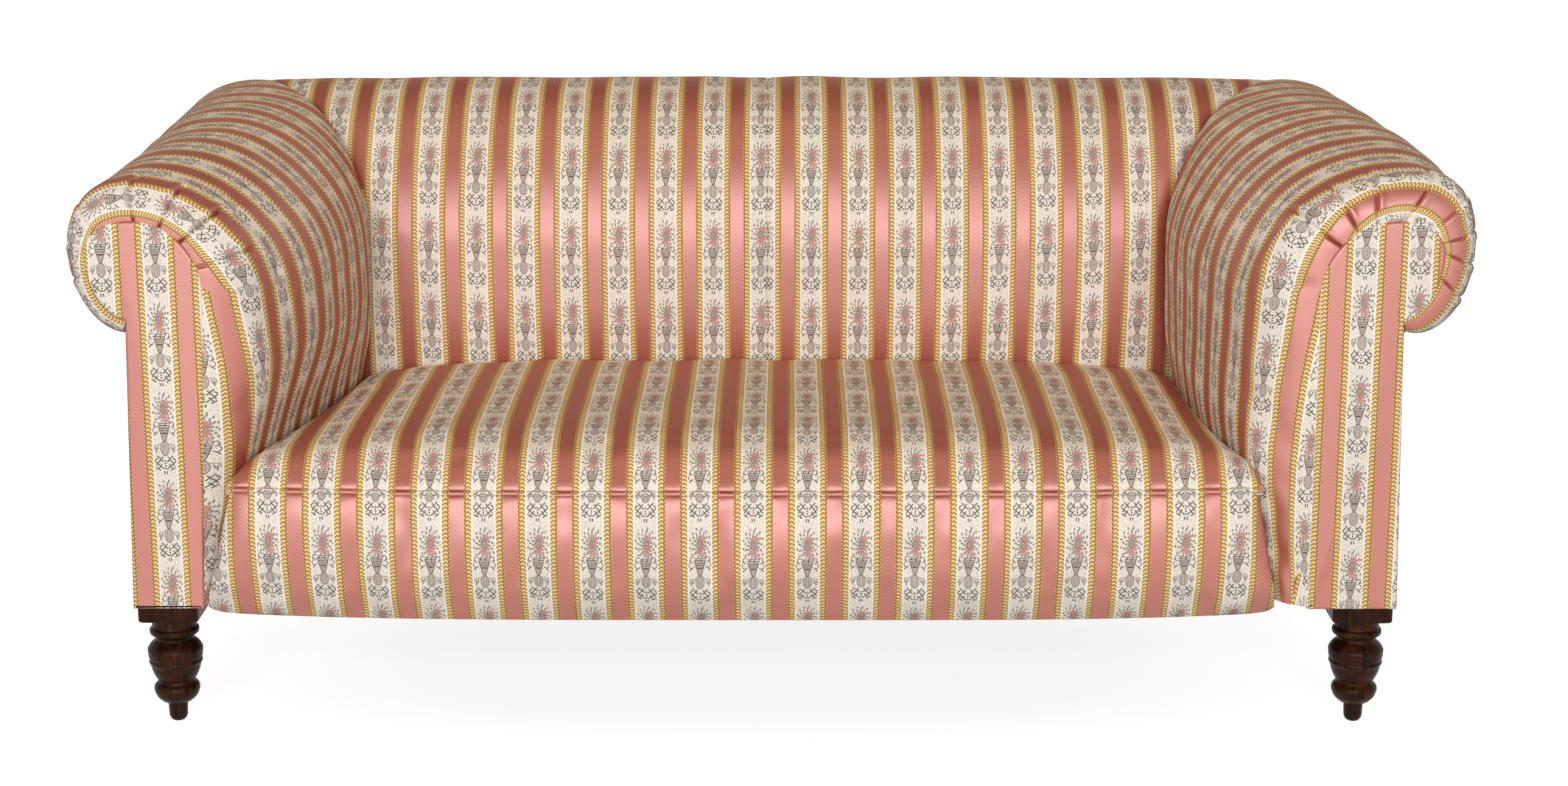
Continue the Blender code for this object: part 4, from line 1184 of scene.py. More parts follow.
@dataclass
class Arm:
    """A rolled arm: its inside cover is drawn over the roll and pleated round the scroll front."""

    plan: Plan
    side: Side
    pleats: tuple[tuple[float, float], ...]
    weave: tuple[tuple[float, float, float], ...]
    drawing_z: float
    slide_fade: float = 0.10
    waist_z: float = 0.48
    round_depth: float = 0.038
    seam_gap: float = -0.0010
    wall_turn: float = math.radians(70)
    band_steps: int = 30
    run_steps: int = 130
    pleat_depth: float = 0.0075
    pleat_width: float = 0.0019
    pleat_lip: float = 0.0070
    lip_share: float = 0.35
    lip_start: int = 2
    lip_steps: int = 12
    pleat_fade: float = 0.022
    mitre_depth: float = 0.007
    mitre_width: float = 0.012
    mitre_ease: float = 0.06
    lump_height: float = 0.0012
    lump_length: float = 0.16
    lump_seed: int = 11
    lump_start: float = 0.01
    lump_ease: float = 0.05
    pull: CoverPull = CoverPull(most=0.004)

    def grid(self) -> np.ndarray:
        """The right arm's face, along the section and then front to back.

        Round the front it is the facing's outline carried out to the full section along a quarter
        circle. Behind that it runs to the mitre, rising and turning in along powers of the
        way that is left.

        Returns:
            Points as section, depth, xyz.
        """
        facing, full = self.plan.facing().outline(), self.plan.arm().outline()
        outward = full - facing
        facing = facing + self.seam_gap * outward / np.linalg.norm(outward, axis=1, keepdims=True)
        over = eased((np.arange(len(full)) - WALL_COUNT) / SHOULDER_COUNT)
        last = self.wall_turn + (math.pi / 2 - self.wall_turn) * over
        turn = np.outer(last, np.linspace(0, 1, self.band_steps, endpoint=False))
        out_share = (np.sin(turn) / np.sin(last)[:, None])[..., None]
        back_share = (1 - np.cos(turn)) / (1 - np.cos(last))[:, None]
        flat = facing[:, None] + (full - facing)[:, None] * out_share
        depth = self.plan.front + self.round_depth * back_share
        band = np.stack((flat[..., 0], depth, flat[..., 1]), axis=2)
        arm_end, back_end = self.plan.corner_arm().outline(), self.plan.corner_back().outline()
        share = np.linspace(0, 1, self.run_steps)
        start_y = self.plan.front + self.round_depth
        power = self.plan.turn_in(full[:, 1:])
        power = power + (self.plan.fit.over_turn_in - power) * over[:, None]
        turned = 1 - (1 - share)[None] ** power
        x = full[:, :1] + (arm_end[:, :1] - full[:, :1]) * turned
        y = start_y + np.outer(back_end[:, 0] - start_y, share)
        z = full[:, 1:] + np.outer(arm_end[:, 1] - full[:, 1], 1 - (1 - share) ** self.plan.fit.bow)
        return np.concatenate((band, np.stack((x, y, z), axis=2)), axis=1)

    def bearing(self, grid: np.ndarray) -> np.ndarray:
        """Where the section's points lie round the scroll's middle, at the fold behind the front.

        Args:
            grid: the plain form.

        Returns:
            Degrees: 180 inside, 90 at the top and 0 outside.
        """
        scroll, fold = self.plan.facing(), grid[:, self.band_steps]
        turn = np.degrees(np.unwrap(np.arctan2(fold[:, 2] - scroll.widest_z, fold[:, 0] - scroll.crest)))
        return turn + 360 * (turn[0] < 0)

    def threads(self, grid: np.ndarray) -> np.ndarray:
        """Cloth coordinates: across is the run from the front's seam, along is the run up the section.

        The cloth that lies at the seam and at the fold is read off between the given bearings, and it
        is spread evenly between the two. Below the waist the stripes hang straight behind the fold.

        Args:
            grid: the plain form.

        Returns:
            Across and along at each point, in metres.
        """
        fold = self.band_steps
        angles, seams, folds = np.array(self.weave).T
        bearing = self.bearing(grid)
        at_seam = settled(np.interp(-bearing, -angles, seams * MILLIMETRE))
        at_fold = settled(np.interp(-bearing, -angles, folds * MILLIMETRE))
        run = run_along(grid, 1)
        share = np.minimum(run / run[:, fold:fold + 1], 1)
        waist = np.argmin(np.abs(grid[:WALL_COUNT, fold, 2] - self.waist_z))
        behind = np.maximum(run - run[:, fold:fold + 1], 0)
        behind[:waist] = behind[waist]
        deep = np.where(np.arange(len(grid)) < waist, at_fold[waist], at_fold)
        settle = (deep - at_fold)[:, None] * (1 - np.exp(-behind / self.slide_fade))
        across = at_seam[:, None] + (at_fold - at_seam)[:, None] * share + behind + settle
        along = run_along(grid, 0)
        wall = np.argmin(np.abs(grid[:WALL_COUNT, fold, 2] - self.drawing_z))
        along = along - along[wall]
        along[:, :fold] = along[:, fold:fold + 1]
        return np.stack((across, along), axis=2)

    def relief(self, grid: np.ndarray, threads: np.ndarray) -> np.ndarray:
        """Heights over the plain form: pleats at the front, a valley at the mitre and soft lumps.

        A pleat is a sharp valley, an exponential of the distance from its line round the scroll, with
        a soft lip on its lower side.

        Args:
            grid: the plain form.
            threads: its cloth coordinates.

        Returns:
            Heights along the outward normal.
        """
        fold = self.band_steps
        bearing = self.bearing(grid)
        run = run_along(grid, 0)[:, fold]
        behind = run_along(grid, 1)[CREST]
        behind = np.maximum(behind - behind[fold], 0)
        fade = np.exp(-((behind / self.pleat_fade) ** 2))
        start = eased((np.arange(len(fade)) - self.lip_start) / self.lip_steps)
        height = np.zeros(grid.shape[:2])
        for angle, strength in self.pleats:
            away = run - np.interp(-angle, -bearing, run)
            crease = np.exp(-np.abs(away) / self.pleat_width)
            lip = self.lip_share * np.exp(-(((away - self.pleat_lip) / self.pleat_lip) ** 2))
            height += strength * self.pleat_depth * (np.outer(lip, fade * start) - np.outer(crease, fade))
        to_mitre = run_along(grid[:, ::-1], 1)[:, ::-1]
        height -= self.mitre_depth * np.exp(-to_mitre / self.mitre_width)
        lumps = Unevenness(self.lump_height, self.lump_length, self.lump_seed + self.side.value)
        ends = eased((behind - self.lump_start) / self.lump_ease)[None] * eased(to_mitre / self.mitre_ease)
        return height + lumps.over(threads[..., 0], threads[..., 1]) * ends

    def build(self, cloth: bpy.types.Material) -> None:
        """Makes the padded arm and sets it on the frame.

        Args:
            cloth: its material.
        """
        plain = self.grid()
        threads = self.threads(plain)
        out = outward_normals(plain, (CREST, self.band_steps + 4), UP)
        face = plain + out * self.relief(plain, threads)[..., None] + self.pull.drift(plain, out)
        word, core = self.side.word, core_of(face, self.plan.rail_top)
        arm = upholstered(f"{word}_arm_upholstery", face, threads, core, cloth, self.side)
        dress(arm, "striped_cloth", f"{word}_inside_arm_cover", f"{word}_arm_stuffing")


@dataclass
class BackHalf:
    """Half of the inside back, drawn over the rolled top, with a flat seam in the sofa's middle."""

    plan: Plan
    side: Side
    stretch: float
    lead: float
    drawing_z: float = 0.486
    level: float = 0.55
    run_steps: int = 170
    crowding: float = 1.4
    mitre_depth: float = 0.007
    mitre_width: float = 0.012
    mitre_ease: float = 0.06
    seam_depth: float = 0.0045
    seam_width: float = 0.0020
    seam_ease: float = 0.05
    stitch: float = 0.009
    stitch_share: float = 0.25
    lump_height: float = 0.0010
    lump_length: float = 0.20
    lump_seed: int = 23
    pull: CoverPull = CoverPull(most=0.006, slack=0.0)

    def grid(self) -> np.ndarray:
        """The right half's face, along the section and then from the seam to the mitre.

        The section changes from the middle's to the mitre's along a square, and the reach along the
        sofa is the mitre's own reach times the share of the way.

        Returns:
            Points as section, path, xyz.
        """
        middle, corner = self.plan.back().outline(), self.plan.corner_back().outline()
        reach = self.plan.corner_arm().outline()[:, 0]
        share = np.linspace(0, 1, self.run_steps) ** self.crowding
        section = middle[:, None] + (corner - middle)[:, None] * (share**2)[None, :, None]
        return np.stack((np.outer(reach, share), section[..., 0], section[..., 1]), axis=2)

    def relief(self, grid: np.ndarray, across: np.ndarray, along: np.ndarray) -> np.ndarray:
        """Heights over the plain form: stitched seam and mitre as exponential valleys, and soft lumps.

        Args:
            grid: the plain form.
            across: the cloth's coordinate across the stripes.
            along: its coordinate along them.

        Returns:
            Heights along the outward normal.
        """
        to_mitre = run_along(grid[:, ::-1], 1)[:, ::-1]
        height = -self.mitre_depth * np.exp(-to_mitre / self.mitre_width)
        stitch = 1 - self.stitch_share + self.stitch_share * np.sin(along * 2 * math.pi / self.stitch)
        height -= self.seam_depth * stitch * np.exp(-grid[..., 0] / self.seam_width)
        lumps = Unevenness(self.lump_height, self.lump_length, self.lump_seed + self.side.value)
        ends = eased(to_mitre / self.mitre_ease) * eased(grid[..., 0] / self.seam_ease)
        return height + lumps.over(across, along) * ends

    def build(self, cloth: bpy.types.Material) -> None:
        """Makes the padded half and sets it on the frame.

        Its drawing follows the section's rows, less a share of their rise towards the mitre.

        Args:
            cloth: its material.
        """
        plain = self.grid()
        across = plain[..., 0] * self.stretch + self.lead
        along = run_along(plain, 0)
        wall = np.argmin(np.abs(plain[:WALL_COUNT, 0, 2] - self.drawing_z))
        along = along - along[wall] + self.level * (plain[wall, :, 2] - plain[wall, 0, 2])
        out = outward_normals(plain, (CREST, self.run_steps // 4), UP)
        face = plain + out * self.relief(plain, across, along)[..., None] + self.pull.drift(plain, out)
        threads = np.stack((across * self.side.value, along), axis=2)
        word, core = self.side.word, core_of(face, self.plan.rail_top)
        half = upholstered(f"{word}_back_upholstery", face, threads, core, cloth, self.side)
        nodes = [f"{word}_inside_back_cover"] + ["back_stuffing"] * (self.side is Side.RIGHT)
        dress(half, "striped_cloth", *nodes)


@dataclass
class Seat:
    """The sprung seat's top, the piping at its front edge and the border under it."""

    plan: Plan
    left: Plan
    welt_z: float = 0.332
    welt_radius: float = 0.0030
    welt_proud: float = 0.0012
    welt_sides: int = 16
    welt_waves: tuple[tuple[float, float, float], ...] = ((0.0006, 31.0, 0.0), (0.0004, 57.0, 1.0))
    end_rise: float = 0.006
    proud: float = 0.014
    edge_round: float = 0.050
    edge_rise: float = 0.050
    crown: float = 0.005
    side_drop: float = 0.016
    border_bottom: float = 0.155
    border_end_rise: float = 0.011
    border_swell: float = 0.005
    border_gap: float = 0.001
    border_crowding: float = 1.5
    swell_power: float = 0.8
    under: float = 0.026
    hem: float = 0.040
    round_depth: float = 0.038
    seam_depth: float = 0.0045
    seam_width: float = 0.0035
    arm_tuck: float = 0.004
    rear_tuck: float = 0.012
    under_gap: float = 0.002
    rear_valley: tuple[float, float] = (0.016, 0.014)
    side_valley: tuple[float, float] = (0.012, 0.012)
    border_valley: tuple[float, float] = (0.008, 0.010)
    lump_ease: float = 0.05
    side_ease: float = 0.06
    border_ease: float = 0.2
    lumps: Unevenness = Unevenness(0.0014, 0.17, 5)
    border_lumps: Unevenness = Unevenness(0.0020, 0.19, 8)
    pucker: Pucker = Pucker(0.0009, 0.034, 1.3, 19.0, 0.022)
    border_pucker: Pucker = Pucker(0.0008, 0.041, 1.1, 23.0, 0.025)
    turn_under_at: float = 0.70
    stripe_at: float = -0.0143
    drawing_z: float = 0.295
    columns: int = 300
    edge_steps: int = 40
    top_steps: int = 90
    border_steps: int = 60
    top_pull: CoverPull = CoverPull(most=0.012, pressure=1.2, slack=0.002)
    border_pull: CoverPull = CoverPull(most=0.010)

    def lift(self, across: np.ndarray) -> np.ndarray:
        """How much of an end's rise applies at shares of the half width: the fourth power."""
        return np.abs(across) ** 4

    def half_width(self, plan: Plan, y: np.ndarray, z: np.ndarray) -> np.ndarray:
        """Room between the middle and one arm: it follows the arm's own turning in.

        Args:
            plan: the arm's side.
            y: some depths.
            z: the heights there.

        Returns:
            Distances from the middle.
        """
        front, rear = plan.arm().reach_at(z), plan.corner_arm().reach_at(z)
        start = plan.front + self.round_depth
        share = np.clip((y - start) / (plan.corner_back().wall - start), 0, 1)
        return front + (rear - front) * (1 - (1 - share) ** plan.turn_in(z))

    def build_top(self, cloth: bpy.types.Material) -> None:
        """Makes the padded seat.

        The front edge is a quarter ellipse above the piping. Behind it the top crowns along half a
        sine wave, falls away to the arms along a fourth power and is tucked in at its ends, where
        exponential valleys lie.

        Args:
            cloth: its material.
        """
        turn = np.linspace(0, math.pi / 2, self.edge_steps)
        front_y = self.plan.front - self.proud
        edge_y = front_y + self.edge_round * (1 - np.cos(turn))
        edge_z = self.welt_z + self.edge_rise * np.sin(turn)
        rear_y = self.plan.back().reach_at(edge_z[-1])
        share = np.linspace(0, 1, self.top_steps + 1)[1:]
        y = np.concatenate((edge_y, edge_y[-1] + (rear_y + self.rear_tuck - edge_y[-1]) * share))
        z = np.concatenate((edge_z, edge_z[-1] + self.crown * np.sin(math.pi * share)))
        across = np.linspace(-1, 1, self.columns)
        deep = np.clip((z - self.welt_z) / self.edge_rise, 0, 1)[:, None]
        height = z[:, None] + self.lift(across) * (self.end_rise - (self.end_rise + self.side_drop) * deep)
        rooms = [self.half_width(plan, y, z)[:, None] + self.arm_tuck for plan in (self.left, self.plan)]
        half = np.where(across < 0, *rooms)
        x = half * across
        grid = np.stack((x, np.broadcast_to(y[:, None], x.shape), height), axis=2)
        along = run_along(grid, 0)
        threads = np.stack((x - self.stripe_at, along + (self.welt_z - self.drawing_z)), axis=2)
        to_rear = along[-1:] - along
        from_side = (1 - np.abs(across)) * half
        sides = eased(from_side / self.side_ease)
        ends = eased(along / self.lump_ease) * eased(to_rear / self.lump_ease) * sides
        relief = self.lumps.over(x, grid[..., 1]) * ends + self.pucker.over(x, along)
        relief -= self.rear_valley[0] * np.exp(-to_rear / self.rear_valley[1])
        relief -= self.side_valley[0] * np.exp(-from_side / self.side_valley[1]) * deep
        relief -= self.seam_depth * np.exp(-along / self.seam_width)
        out = outward_normals(grid, (-self.top_steps // 2, self.columns // 2), UP)
        face = grid + out * relief[..., None] + self.top_pull.drift(grid, out)
        under = np.stack((face[-1], face[0]), axis=1)
        under[..., 2] = self.welt_z - self.under_gap
        seat = upholstered("seat_upholstery", face, threads, under, cloth)
        dress(seat, "striped_cloth", "seat_cover", "seat_stuffing")

    def build_border(self, cloth: bpy.types.Material) -> None:
        """Makes the padded border: it swells along half a sine wave and turns under along a square.

        Args:
            cloth: its material.
        """
        drop = np.linspace(0, 1, self.border_steps)[:, None] ** self.border_crowding
        across = np.linspace(-1, 1, self.columns)
        top = self.welt_z + self.end_rise * self.lift(across)
        bottom = self.border_bottom + self.border_end_rise * self.lift(across)
        z = top + (bottom - top) * drop
        front_y = self.plan.front - self.proud
        turn_under = self.under * np.clip((drop - self.turn_under_at) / (1 - self.turn_under_at), 0, 1) ** 2
        swell = self.border_swell * np.sin(math.pi * drop**self.swell_power)
        y = np.broadcast_to(front_y - swell + turn_under, z.shape)
        rooms = [plan.arm().reach_at(z) - self.border_gap for plan in (self.left, self.plan)]
        half = np.where(across < 0, *rooms)
        x = half * across
        grid = np.stack((x, y, z), axis=2)
        along = run_along(grid, 0)
        threads = np.stack((x - self.stripe_at, (self.welt_z - self.drawing_z) - along), axis=2)
        from_side = (1 - np.abs(across)) * half
        ends = eased(drop / self.border_ease) * eased((1 - drop) / self.border_ease)
        relief = self.border_lumps.over(x, z) * ends + self.border_pucker.over(x, along)
        relief -= self.border_valley[0] * np.exp(-from_side / self.border_valley[1])
        relief -= self.seam_depth * np.exp(-along / self.seam_width)
        out = outward_normals(grid, (self.border_steps // 3, self.columns // 2), FORWARD)
        face = grid + out * relief[..., None] + self.border_pull.drift(grid, out)
        inside = np.stack((face[-1], face[0]), axis=1) + np.array((0.0, self.hem, 0.0))
        border = upholstered("front_border_upholstery", face, threads, inside, cloth)
        dress(border, "striped_cloth", "front_border_cover", "front_border_stuffing")

    def build_welt(self, cloth: bpy.types.Material) -> None:
        """Makes the piping: a circle carried along the seat's front edge, with two small sine waves.

        Args:
            cloth: its material.
        """
        across = np.linspace(-1, 1, self.columns * 2)
        half = np.where(across < 0, *(plan.arm().reach_at(self.welt_z) for plan in (self.left, self.plan)))
        x = across * half
        wave = sum(height * np.sin(x * rate + phase) for height, rate, phase in self.welt_waves)
        height = self.welt_z + self.end_rise * self.lift(across) + wave
        turn = np.linspace(0, 2 * math.pi, self.welt_sides, endpoint=False)
        y = self.plan.front - self.proud - self.welt_proud + self.welt_radius * np.cos(turn)
        rings = np.stack(np.broadcast_arrays(
            x[:, None], y[None], height[:, None] + self.welt_radius * np.sin(turn)[None]
        ), axis=2)
        threads = np.broadcast_arrays((x - self.stripe_at)[:, None], (turn * self.welt_radius)[None])
        welt = joined(rings, np.stack(threads, axis=2), "seat_piping")
        welt.data.materials.append(cloth)
        dress(welt, "striped_cloth", "seat_welt")


@dataclass
class Facing:
    """The flat scroll panel that closes an arm's front."""

    plan: Plan
    side: Side
    stripe_at: float
    drawing_z: float
    proud: float = 0.003
    thick: float = 0.0147
    edge: float = 0.0045
    flare: float = 0.009
    edge_steps: int = 9
    side_steps: int = 60
    bottom_steps: int = 24

    def outline(self) -> np.ndarray:
        """Works out the panel's outline: the scroll head, then straight down to its two foot corners.

        Returns:
            Points as rows of reach and height.
        """
        head = self.plan.facing()
        points = head.outline()
        inner = np.array((float(head.reach_at(self.plan.leg)), self.plan.leg))
        outer = np.array((head.foot + self.flare, self.plan.leg))
        down = np.linspace(0, 1, self.side_steps)[1:, None]
        outer_edge = points[-1] + (outer - points[-1]) * down
        bottom = outer + (inner - outer) * np.linspace(0, 1, self.bottom_steps)[1:, None]
        return np.vstack((points, outer_edge, bottom))

    def build(self, cloth: bpy.types.Material) -> None:
        """Makes the panel: its outline is carried forward and drawn in round a quarter circle.

        Args:
            cloth: its material.
        """
        outline = self.outline()
        tangent = np.roll(outline, -1, axis=0) - np.roll(outline, 1, axis=0)
        inward = np.column_stack((-tangent[:, 1], tangent[:, 0]))
        inward /= np.linalg.norm(inward, axis=1, keepdims=True)
        middle = outline.mean(axis=0)
        inward *= np.sign(np.einsum("ij,ij->i", inward, middle - outline).sum())
        turn = np.linspace(0, math.pi / 2, self.edge_steps)
        inset = np.concatenate(([0.0], self.edge * (1 - np.cos(turn))))
        front = self.plan.front - self.proud
        depth = np.concatenate(([front + self.thick], front + self.edge * (1 - np.sin(turn))))
        flat = outline[None] + inward[None] * inset[:, None, None]
        y = np.broadcast_to(depth[:, None], flat.shape[:2])
        rings = np.stack((flat[..., 0], y, flat[..., 1]), axis=2) * (self.side.value, 1, 1)
        uv = np.stack((rings[..., 0] - self.stripe_at, rings[..., 2] - self.drawing_z), axis=2)
        word = self.side.word
        panel = joined(rings, uv, f"{word}_scroll_facing")
        panel.data.materials.append(cloth)
        dress(panel, "striped_cloth", f"{word}_arm_facing")


@dataclass
class FrontLeg:
    """A turned front leg: spigot, ring, urn, collar and square block."""

    side: Side
    sides: int = 96
    stretch_steps: int = 5
    block_half: float = 0.0395
    block_z: float = 0.145
    top_z: float = 0.1737
    squareness: int = 14
    sharp: float = math.radians(38)
    block_foot: tuple[tuple[float, float], ...] = ((0.0, 0.0040), (0.001, 0.0012), (0.003, 0.0))
    block_head: tuple[tuple[float, float], ...] = ((-0.001, 0.0), (0.0, 0.001))
    turnings: tuple[tuple[float, float, float], ...] = (
        (0.0000, 0.0070, 0.0000), (0.0030, 0.0102, 0.0006), (0.0080, 0.0120, 0.0004),
        (0.0255, 0.0128, 0.0000), (0.0262, 0.0150, 0.0000), (0.0285, 0.0205, 0.0010),
        (0.0400, 0.0288, 0.0016), (0.0470, 0.0298, 0.0006), (0.0530, 0.0262, 0.0008),
        (0.0545, 0.0250, 0.0000), (0.0585, 0.0250, -0.0006), (0.0600, 0.0262, 0.0000),
        (0.0790, 0.0330, 0.0010), (0.0800, 0.0338, 0.0000), (0.0850, 0.0346, 0.0008),
        (0.0860, 0.0340, 0.0000), (0.0965, 0.0358, 0.0006), (0.1040, 0.0342, 0.0010),
        (0.1120, 0.0268, 0.0008), (0.1135, 0.0256, 0.0000), (0.1180, 0.0258, -0.0008),
        (0.1195, 0.0285, 0.0000), (0.1250, 0.0322, 0.0014), (0.1300, 0.0300, 0.0010),
        (0.1310, 0.0290, 0.0000), (0.1425, 0.0292, -0.0006), (0.1450, 0.0310, 0.0000),
    )

    def profile(self) -> tuple[np.ndarray, np.ndarray]:
        """Works out the turned part, from the spigot's tip to the block.

        Each turning is a height, a radius and how far the stretch that leads up to it swells along
        half a sine wave.

        Returns:
            Heights and radii.
        """
        z, radius, swell = np.array(self.turnings).T
        place = np.linspace(0, len(z) - 1, (len(z) - 1) * self.stretch_steps + 1)
        after = np.minimum(np.floor(place).astype(int) + 1, len(z) - 1)
        number = np.arange(len(z))
        bulge = swell[after] * np.sin(math.pi * (place - np.floor(place)))
        return np.interp(place, number, z), np.interp(place, number, radius) + bulge

    def build(self, wood: bpy.types.Material) -> None:
        """Makes the leg: circles carried up the profile, then the block as squares with eased edges.

        A square is a circle divided by its norm of a high order.

        Args:
            wood: its material.
        """
        low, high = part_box(f"{self.side.word}_front_leg")
        centre_x, centre_y = (low.x + high.x) / 2, (low.y + high.y) / 2
        z, radius = self.profile()
        angle = np.linspace(0, 2 * math.pi, self.sides, endpoint=False) + math.pi / self.sides
        around = np.column_stack((np.cos(angle), np.sin(angle)))
        squared = np.linalg.norm(np.abs(around), ord=self.squareness, axis=1)
        foot, head = np.array(self.block_foot), np.array(self.block_head)
        block_z = np.concatenate((self.block_z + foot[:, 0], self.top_z + head[:, 0]))
        block_r = self.block_half - np.concatenate((foot[:, 1], head[:, 1]))
        turned = around[None] * radius[:, None, None]
        block = (around / squared[:, None])[None] * block_r[:, None, None]
        flat = np.concatenate((turned, block))
        height = np.broadcast_to(np.concatenate((z, block_z))[:, None], flat.shape[:2])
        rings = np.stack((centre_x + flat[..., 0], centre_y + flat[..., 1], height), axis=2)
        word = self.side.word
        leg = joined(rings, None, f"{word}_turned_leg")
        leg.data.set_sharp_from_angle(angle=self.sharp)
        leg.data.materials.append(wood)
        dress(leg, "mahogany", f"{word}_front_leg")


@dataclass
class OutsideCover:
    """The flat outside panels of cloth, nailed over the frame on wadding that fills them out a little."""

    drawing_z: float = 0.30
    fill_out: float = 0.0025
    thick: float = 0.0016
    top_out: float = 0.002
    front_lap: float = 0.022
    steps: int = 60
    lumps: Unevenness = Unevenness(0.0006, 0.14, 31)

    def sheet(self, name: str, start: np.ndarray, end: np.ndarray, out: Point, rails: Sequence[str],
              cloth: bpy.types.Material) -> None:
        """Makes one panel between two upright edges: it fills out along the root of two half sine waves.

        Args:
            name: the piece's name.
            start: the first edge's lower and upper points.
            end: the last edge's lower and upper points.
            out: the outward direction.
            rails: not used.
            cloth: its material.
        """
        share = np.linspace(0, 1, self.steps)
        left = start[0] + (start[1] - start[0]) * share[:, None]
        right = end[0] + (end[1] - end[0]) * share[:, None]
        face = left[:, None] + (right - left)[:, None] * share[None, :, None]
        rise = np.outer(np.sin(math.pi * share), np.sin(math.pi * share)) ** 0.5
        run = np.linalg.norm(end[0] - start[0])
        lumps = self.lumps.over(share * run, face[:, 0, 2])
        face = face + np.array(out) * ((self.fill_out + lumps.T) * rise)[..., None]
        back = face - np.array(out) * self.thick
        rings = np.concatenate((face, back[:, ::-1]), axis=1)
        place = np.broadcast_to(share[None] * run, face.shape[:2])
        threads = np.stack((place, face[..., 2] - self.drawing_z), axis=2)
        uv = np.concatenate((threads, threads[:, ::-1]), axis=1)
        panel = joined(rings, uv, name)
        panel.data.materials.append(cloth)
        dress(panel, "striped_cloth", f"{name}_cover")
        tall = float(np.linalg.norm(start[1] - start[0]))

    def build(self, cloth: bpy.types.Material) -> None:
        """Makes the two arm panels and the back panel.

        Args:
            cloth: their material.
        """
        narrow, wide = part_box("right_outside_arm_cover")
        for side in Side:
            word = side.word
            bottom, top = side.value * wide.x, side.value * (narrow.x + self.top_out)
            ends = (narrow.y - self.front_lap, wide.y)
            edges = [np.array(((bottom, y, narrow.z), (top, y, wide.z))) for y in ends]
            rails = (f"{word}_seat_rail", f"{word}_front_post", f"{word}_arm_rail")
            self.sheet(f"{word}_outside_arm", *edges, (side.value, 0.0, 0.0), rails, cloth)
        low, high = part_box("outside_back_cover")
        edges = [
            np.array(((side.value * wide.x, high.y, low.z), (side.value * narrow.x, high.y, high.z)))
            for side in Side
        ]
        self.sheet("outside_back", *edges, (0.0, 1.0, 0.0), ("back_seat_rail", "crest_rail"), cloth)


@dataclass
class DustCover:
    """The black cloth under the seat, cut round the legs and sagging a little between its tacks."""

    sag: float = 0.006
    thick: float = 0.0008
    columns: int = 80
    rows: int = 60
    notch: float = 0.028
    leg_gap: float = 0.003

    def build(self, lining: bpy.types.Material) -> None:
        """Makes the cloth: a flat sheet whose sag is the product of two half sine waves.

        Args:
            lining: its material.
        """
        low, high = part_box("dust_cover")
        _, leg_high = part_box("right_front_leg")
        stile_low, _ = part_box("right_back_stile")
        stops = np.array((leg_high.y + self.leg_gap, stile_low.y - self.leg_gap))
        y = np.sort(np.concatenate((np.linspace(low.y, high.y, self.rows), stops, stops)))
        first, last = np.searchsorted(y, stops)
        row = np.arange(len(y))
        wide = (row > first) & (row <= last)
        half = np.where(wide, high.x, high.x - self.notch)
        across = np.linspace(-1, 1, self.columns)
        x = np.outer(half, across)
        depth = np.broadcast_to(y[:, None], x.shape)
        share = (y - low.y) / (high.y - low.y)
        drop = self.sag * np.outer(np.sin(math.pi * share), np.cos(across * math.pi / 2))
        face = np.stack((x, depth, high.z - drop), axis=2)
        back = face - np.array((0.0, 0.0, self.thick))
        sheet = joined(np.concatenate((face, back[:, ::-1]), axis=1), None, "dust_lining")
        sheet.data.materials.append(lining)
        dress(sheet, "dust_cloth", "dust_cover")


@dataclass
class Carcase:
    """The frame, springs and canvases that stay as the solids they are and get their finishes."""

    timber: PlainTimber = PlainTimber()
    stained: PlainTimber = PlainTimber("stained_beech", linear(46, 24, 14), linear(96, 52, 30), 0.35)
    canvas: PlainWeave = PlainWeave("jute_canvas", linear(140, 112, 76), linear(182, 152, 108))
    webbing: PlainWeave = PlainWeave("jute_webbing", linear(112, 84, 54), linear(158, 124, 82), 0.0024)
    wire: SpringWire = SpringWire()

    def build(self) -> None:
        """Gives each remaining node the material of its kind, which a word in its name tells."""
        kinds = {"spring": self.wire, "webbing": self.webbing, "canvas": self.canvas, "stile": self.stained}
        finishes = {word: kind.material() for word, kind in kinds.items()}
        timber = self.timber.material()
        for name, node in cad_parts.items():
            word = next((word for word in finishes if word in name), None)
            node.data.materials.clear()
            node.data.materials.append(finishes.get(word, timber))


@dataclass(frozen=True)
class Lamp:
    """A soft rectangular lamp that looks at a point."""

    name: str
    place: Point
    aim: Point
    size: tuple[float, float]
    power: float
    colour: Colour = WHITE
    mirrored: bool = True

    def build(self) -> None:
        """Hangs the lamp and turns it to its point."""
        data = bpy.data.lights.new(self.name, "AREA")
        data.shape = "RECTANGLE"
        data.size, data.size_y = self.size
        data.energy = self.power
        data.color = self.colour
        lamp = bpy.data.objects.new(self.name, data)
        lamp.location = self.place
        right, away, up = np.array(self.aim) - np.array(self.place)
        pitch = math.atan2(up, math.hypot(right, away))
        lamp.rotation_euler = (math.pi / 2 + pitch, 0.0, math.atan2(-right, away))
        lamp.visible_glossy = self.mirrored
        bpy.context.scene.collection.objects.link(lamp)


